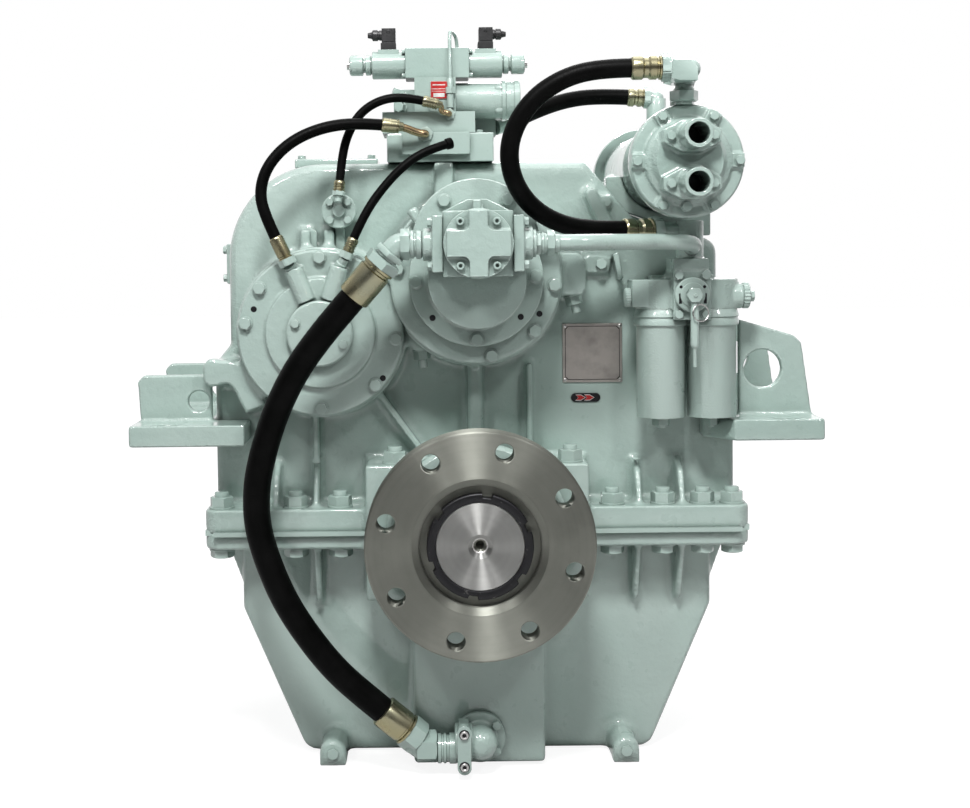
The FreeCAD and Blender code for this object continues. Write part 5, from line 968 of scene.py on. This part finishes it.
# The changeover spindle, and the ring on its handle
SPINDLE_X = 296
SPINDLE_Z = 330
KEY_RING_RADIUS = 11.5
KEY_RING_WIRE = 0.9
HANDLE_PROFILE = [
    (0, 4.6), (10, 4.8), (12, 5.6), (60, 5.8), (64, 5.2), (66, 3.4), (67, 2.7), (91.5, 2.7), (92, 2.2),
]


def make_changeover():
    """The handle on the filter's changeover spindle, with the ring on it, and the indexed plate behind."""
    x, z = SPINDLE_X, SPINDLE_Z
    handle = Shape()
    handle.lathe((x, 77, z), FRONT, [(0, 7.8), (19, 7.8), (20, 7)], 32)
    handle.hexagon((x, 60, z), FRONT, 19, 10, 0.0)
    handle.disc((x, 50, z), FRONT, 3, 1, 0.3, 24)
    handle.lathe((x, 57, z - 6), DOWN, HANDLE_PROFILE, 28)
    add_piece("changeover_handle_bar", handle, SMOOTH, ["changeover_lever"], "changeover_handle", 0.4)
    ring = Shape()
    angles = [2 * math.pi * k / 10 for k in range(10)]
    wire = [(KEY_RING_WIRE * math.sin(a), KEY_RING_RADIUS + KEY_RING_WIRE * math.cos(a)) for a in angles]
    ring.lathe((x + 7, 50, z - 24), (0.25, -1, 0.1), wire, 40, closed=True)
    add_piece("handle_ring", ring, STEEL, body="changeover_handle")
    index = Shape()
    index.ring((x, 78, z), FRONT, 8.4, 24, 8.5, 1.4, 56)
    index.ring((x, 71, z), FRONT, 8.4, 17, 3, 0.8, 48)
    add_piece("changeover_index", index, nodes=["changeover_plate"])
    # Painted shade: black marks stand in for the dark inside the index plate's slots
    marks = Shape()
    for side in (-1, 1):
        marks.disc((x + 16 * side, 69.8, z + 11), FRONT, 2.2, 0.4, 0.1, 18)
        marks.block((x + 17 * side - 2, 69.2, z - 12), (x + 17 * side + 2, 69.8, z + 2))
    add_piece("index_slot_shade", marks, BLACK)


def knurl(angle, radius):
    """Twenty-two soft teeth round a knob."""
    return radius * (1 + 0.035 * math.cos(angle * 22))


def make_filter_plugs():
    knobs = Shape()
    right_knob = [(0, 15.5), (1.5, 17.5), (8.5, 17.5), (10, 15.5)]
    knobs.lathe((371.8, 112, 327), RIGHT, right_knob, 132, wave=knurl)
    knobs.hexagon((381, 112, 327), RIGHT, 15, 8, 0.3)
    knobs.lathe((217, 108, 326), LEFT, [(0, 11), (1.5, 13), (7.5, 13), (9, 11)], 110, wave=knurl)
    add_piece("filter_plugs", knobs)


def make_filter_rings():
    """The collars of the filter's head round both bowls, and the plugs below them."""
    collars = Shape()
    for x, wide in ((260.2, 13.5), (331.8, 9.8)):
        collars.lathe((x, 122, 286), UP, [
            (0, 36.2), (1.5, 37.6), (8, 37.6), (10, 36.4), (12, 36.4), (13, 38.2), (24, 35), (32, 30),
        ], 64)
        collars.disc((x, 122, 158), DOWN, wide, 4, 0.8, 36)
        collars.hexagon((x, 122, 154), DOWN, wide * 1.66, 9, 0.4)
        collars.disc((x, 122, 146), DOWN, wide * 0.5, 4, 0.8, 24)
    add_piece("filter_collars", collars)


def make_suction_end():
    """The thin yoke on the suction elbow, its socket screws, and the ridged union beside it."""
    x, y, z = -23, 85, -292
    yoke = Shape()
    half, tall = 9.6, 24.5
    yoke.slab(half_circle(x, z + tall, half, 0) + half_circle(x, z - tall, half, math.pi), 52, 65)
    yoke.lathe((x - 13, y, -290), RIGHT, [(0, 23), (1.5, 25.5), (24, 25.5), (26, 23)], 48)
    yoke.block((x - 7, 60, z - 31), (x + 7, 96, z + 31))
    add_piece("suction_yoke", yoke, nodes=["suction_clamp"], edge=1.0)
    # Painted shade: black discs round each screw head and in its hex socket stand in for the dark of the
    # counterbore and socket
    deep, heads = Shape(), Shape()
    for up in (-22.2, 22.2):
        deep.disc((x, 52.4, z + up), FRONT, 7.2, 0.8, 0.2, 30)
        heads.ring((x, 52, z + up), FRONT, 2.6, 5.8, 4, 0.8, 30)
        deep.disc((x, 51.2, z + up), FRONT, 2.7, 0.8, 0.2, 6)
    add_piece("yoke_screws", heads, STEEL)
    add_piece("yoke_socket_shade", deep, BLACK)
    rings = Shape()
    rings.lathe((-60, y, -299), RIGHT, [
        (0, 18), (1, 20.4), (5, 20.4), (6, 18.6), (8, 18.6), (9, 20.4), (12, 20.4), (13, 18.2), (16, 18.2),
        (17, 21), (26, 21), (28, 19.5),
    ], 48)
    rings.hexagon((-88, y, -296), RIGHT, 40, 28, 0.5)
    rings.rod((-94, y, -284), (-78, y, -296), 20)
    add_piece("suction_rings", rings)


def make_pipe_fittings():
    """The fittings' own solids, with a square elbow on the cooler and slimmer nuts on the delivery pipe."""
    def wanted(middle):
        beside_pump = abs(middle.x) < 112 and middle.y < 60
        return middle.z > 0 and not beside_pump

    kept = Shape()
    kept.take(NODES["pipe_fittings"], wanted)
    kept.hexagon((-101, -4, 403), RIGHT, 36, 13, 0.5)
    kept.lathe((-89, -4, 403), RIGHT, [
        (0, 17), (1, 19), (5, 19), (6, 16.6), (8, 16.6), (9, 19.5), (15, 19.5), (16, 17), (20, 17),
    ], 44)
    kept.hexagon((-117.5, -1, 388.5), (0.654, -0.097, 0.75), 39, 8, 0.1)
    kept.slab([(252, 614), (252, 634), (255, 637), (277, 637), (286, 628), (286, 611), (264, 611)], -25, 40)
    neck = [(0, 12), (8, 12), (8.5, 13.5), (13, 13.5), (13.5, 12), (30, 12)]
    kept.lathe((277, 26, 614), DOWN, neck, 36)
    kept.hexagon((277, 26, 602), DOWN, 33, 14, 0.5)
    kept.disc((243, -10, 626), RIGHT, 12, 14, 1, 36)
    kept.lathe((71, -6, 403), RIGHT, [(0, 18), (2, 18.5), (5, 18.5), (6, 14), (28, 12.5), (36, 12)], 36)
    kept.hexagon((77, -6, 403), RIGHT, 28, 6, 0.2)
    kept.ring((84, -6, 403), RIGHT, 10, 14.6, 3, 0.7, 36)
    kept.hexagon((91, -6, 403), RIGHT, 29, 10, 0.45)
    add_piece("union_bodies", kept, nodes=["pipe_fittings"], edge=0.8)
    points = [(-120, -1, 386), (-108, -3, 400), (-100, -4, 403), (-84, -4, 403), (-68, -4, 403)]
    bent_tube("suction_bend", points, 16, SMOOTH)


# The lock nut's six slots: where the first one is and its half width in degrees, and its depth
SLOT_START = 21.3
SLOT_HALF = 5.2
SLOT_DEPTH = 5
THREAD_LENGTH = 24
THREAD_PITCH = 1.5


def slotted(angle, radius):
    """The outer wall of the nut, lower in its slots."""
    from_slot = (math.degrees(angle) - SLOT_START) % 60
    in_slot = min(from_slot, 60 - from_slot) < SLOT_HALF
    return radius - SLOT_DEPTH if radius > 65 and in_slot else radius


def make_output_end():
    """The slotted nut about the shaft's threaded end, and the faced end with its tapped centre."""
    nut = Shape()
    nut.lathe((0, 22, 0), FRONT, [
        (0, 71.3), (17.6, 71.3), (18.6, 70.4), (19, 69), (19, 61.5), (18, 59.6), (0, 59.6),
    ], 300, closed=True, wave=slotted)
    add_piece("slotted_nut", nut, BLACK, ["lock_nut"], "output_train")
    face = Shape()
    face.lathe((0, 20, 0), FRONT, [
        (0, 59.2), (14.5, 59.2), (15.5, 58.2), (15.5, 16.5), (8, 10.5), (0, 10.4),
    ], 160, closed=True)
    add_piece("shaft_end_face", face, SHAFT, body="output_train")
    thread = Shape()
    turns = [(THREAD_LENGTH - THREAD_PITCH / 2 * k, 8.6 if k % 2 else 9.6) for k in range(30)]
    thread.lathe((0, 36, 0), FRONT, [(0, 10.6), (THREAD_LENGTH, 10.6)] + turns, 48, closed=True)
    add_piece("centre_thread", thread, STEEL, body="output_train")


def make_port_shade_discs():
    """Black discs deep in the cooler's two water ports: painted shade for the dark inside the bores."""
    seats = Shape()
    for height in (478.5, 540.5):
        seats.disc((281, 8, height), FRONT, 13.4, 3, 0.3, 40)
    add_piece("port_shade_discs", seats, BLACK)


RIM_SCALE = 1.02


def make_data_plate():
    """The bare plate in its thin border, with a screw in each corner."""
    x, z = 170, 244.5
    plate = Shape()
    plate.block((x - 43, 173, z - 42.5), (x + 43, 175, z + 42.5))
    add_piece("data_plate", plate, BRUSHED, ["blank_plates"], edge=0.5)
    corners = [(-38.5, -34), (-34.5, -38), (34.5, -38), (38.5, -34)]
    corners += [(-a, -b) for a, b in corners]
    loops = []
    for depth, scale in ((172.9, 1), (172.4, 1), (172.4, RIM_SCALE), (172.9, RIM_SCALE)):
        loops.append([(x + a * scale, depth, z + b * scale) for a, b in corners])
    border = Shape()
    border.skin(loops, closed=True)
    add_piece("plate_border", border, BLACK)
    screws = Shape()
    for across in (-39.4, 39.4):
        for up in (-38.9, 38.9):
            screws.lathe((x + across, 173, z + up), FRONT, [(0, 2.4), (0.8, 2.2), (1.4, 1.2)], 16)
    add_piece("plate_screws", screws, STEEL)


def make_arrow_plate():
    """The plate with round ends and its two arrow heads."""
    plate = Shape()
    right_end = half_circle(174.8, 180, 6.4, -math.pi / 2)
    left_end = half_circle(145.2, 180, 6.4, math.pi / 2)
    plate.slab(right_end + left_end, 173, 174.8)
    add_piece("arrow_plate", plate, BLACK, edge=0.4)
    arrow, edging = Shape(), Shape()
    for shift in (0, 12.5):
        points = [(146, 176.6), (153, 176.6), (159, 180), (153, 183.4), (146, 183.4), (149.5, 180)]
        arrow.slab([(a + shift, b) for a, b in points], 172.6, 173.1)
        wide = [(152 + (a - 152) * 1.16 + shift, 180 + (b - 180) * 1.3) for a, b in points]
        edging.slab(wide, 172.8, 173.1)
    add_piece("arrow_edging", edging, PALE)
    add_piece("turning_arrow", arrow, RED)


def make_valve_plate():
    """The small red plate, with plain pale fields only."""
    border = Shape()
    border.block((-59, 168.4, 611), (-35, 170, 636))
    add_piece("valve_plate_border", border, PALE, edge=0.3)
    face = Shape()
    face.block((-58.6, 168.1, 611.4), (-35.4, 168.6, 635.6))
    add_piece("valve_plate", face, RED)
    fields = Shape()
    for half, low, high in ((8, 613.5, 619), (10.4, 624.6, 625.4), (10.4, 621.4, 622), (9, 630, 631.4)):
        fields.block((-47 - half, 167.9, low), (-47 + half, 168.2, high))
    add_piece("plate_fields", fields, PALE)


def make_pump_crown():
    """The arched top of the pump's body and the small boss before it."""
    crown = Shape()
    crown.slab([(-46, 440), (-46, 445), (-14, 461), (12, 461), (44, 445), (44, 440)], -18, 14)
    crown.block((-7, -45, 441), (4, -20, 459))
    add_piece("pump_crown", crown, CAST, edge=2.0)


def make_small_hardware():
    """Studs in the wall lugs, black discs as painted shade in tapped jacking holes, the cooler's vent plug
    and the suction flange bolts.
    """
    studs = Shape()
    for x, y, z, lean in ((-76, 132, 254, 0.1), (138, 134, 329, 0.25)):
        down = Vector((lean, 0, -1)).normalized()
        studs.hexagon(Vector((x, y, z)) - down, down, 21, 12, 0.4, 2)
        studs.disc(Vector((x, y, z)) + down * 12, down, 6.5, 13, 1.5, 24)
    studs.hexagon((182, 164, 372), (0, -1, 0.1), 14, 9, 0.3, 1.5)
    studs.hexagon((276, 8, 449), FRONT, 12, 10, 0.2, 1.5)
    for lean in (-38, 38, 180):
        angle = math.radians(lean)
        studs.hexagon((29.5 * math.cos(angle), 100, -290 + 29.5 * math.sin(angle)), FRONT, 11, 6, lean, 1)
    studs.disc((189, 160, 462), FRONT, 7.5, 1.2, 0.5, 28)
    add_piece("lug_studs", studs)
    # Painted shade: black discs stand in for the dark inside the tapped holes
    holes = Shape()
    for x, y, z in ((-308, 100, 316), (-130, 100, 218), (-60, 60, 303), (60, 60, 303), (87, 80, 306)):
        holes.disc((x, y + 0.3, z), FRONT, 4.2, 0.6, 0.1, 24)
    add_piece("jacking_hole_shade", holes, BLACK)


set_camera()
set_world()
set_lamps()
set_floor()
lay_hoses()
make_castings()
make_hose_ends()
make_control_fittings()
make_solenoids()
make_valve_hardware()
make_changeover()
make_filter_plugs()
make_data_plate()
make_arrow_plate()
make_valve_plate()
make_small_hardware()
make_casing_fingers()
make_joint_seam()
make_pump_crown()
make_filter_rings()
make_suction_end()
make_pipe_fittings()
make_output_end()
make_port_shade_discs()
hexagon_bolts("cover_bolt_heads", "cover_bolts", 1.6)
hexagon_bolts("small_bolt_heads", "small_bolts", 1.0)
joint_hardware()
finish_nodes()
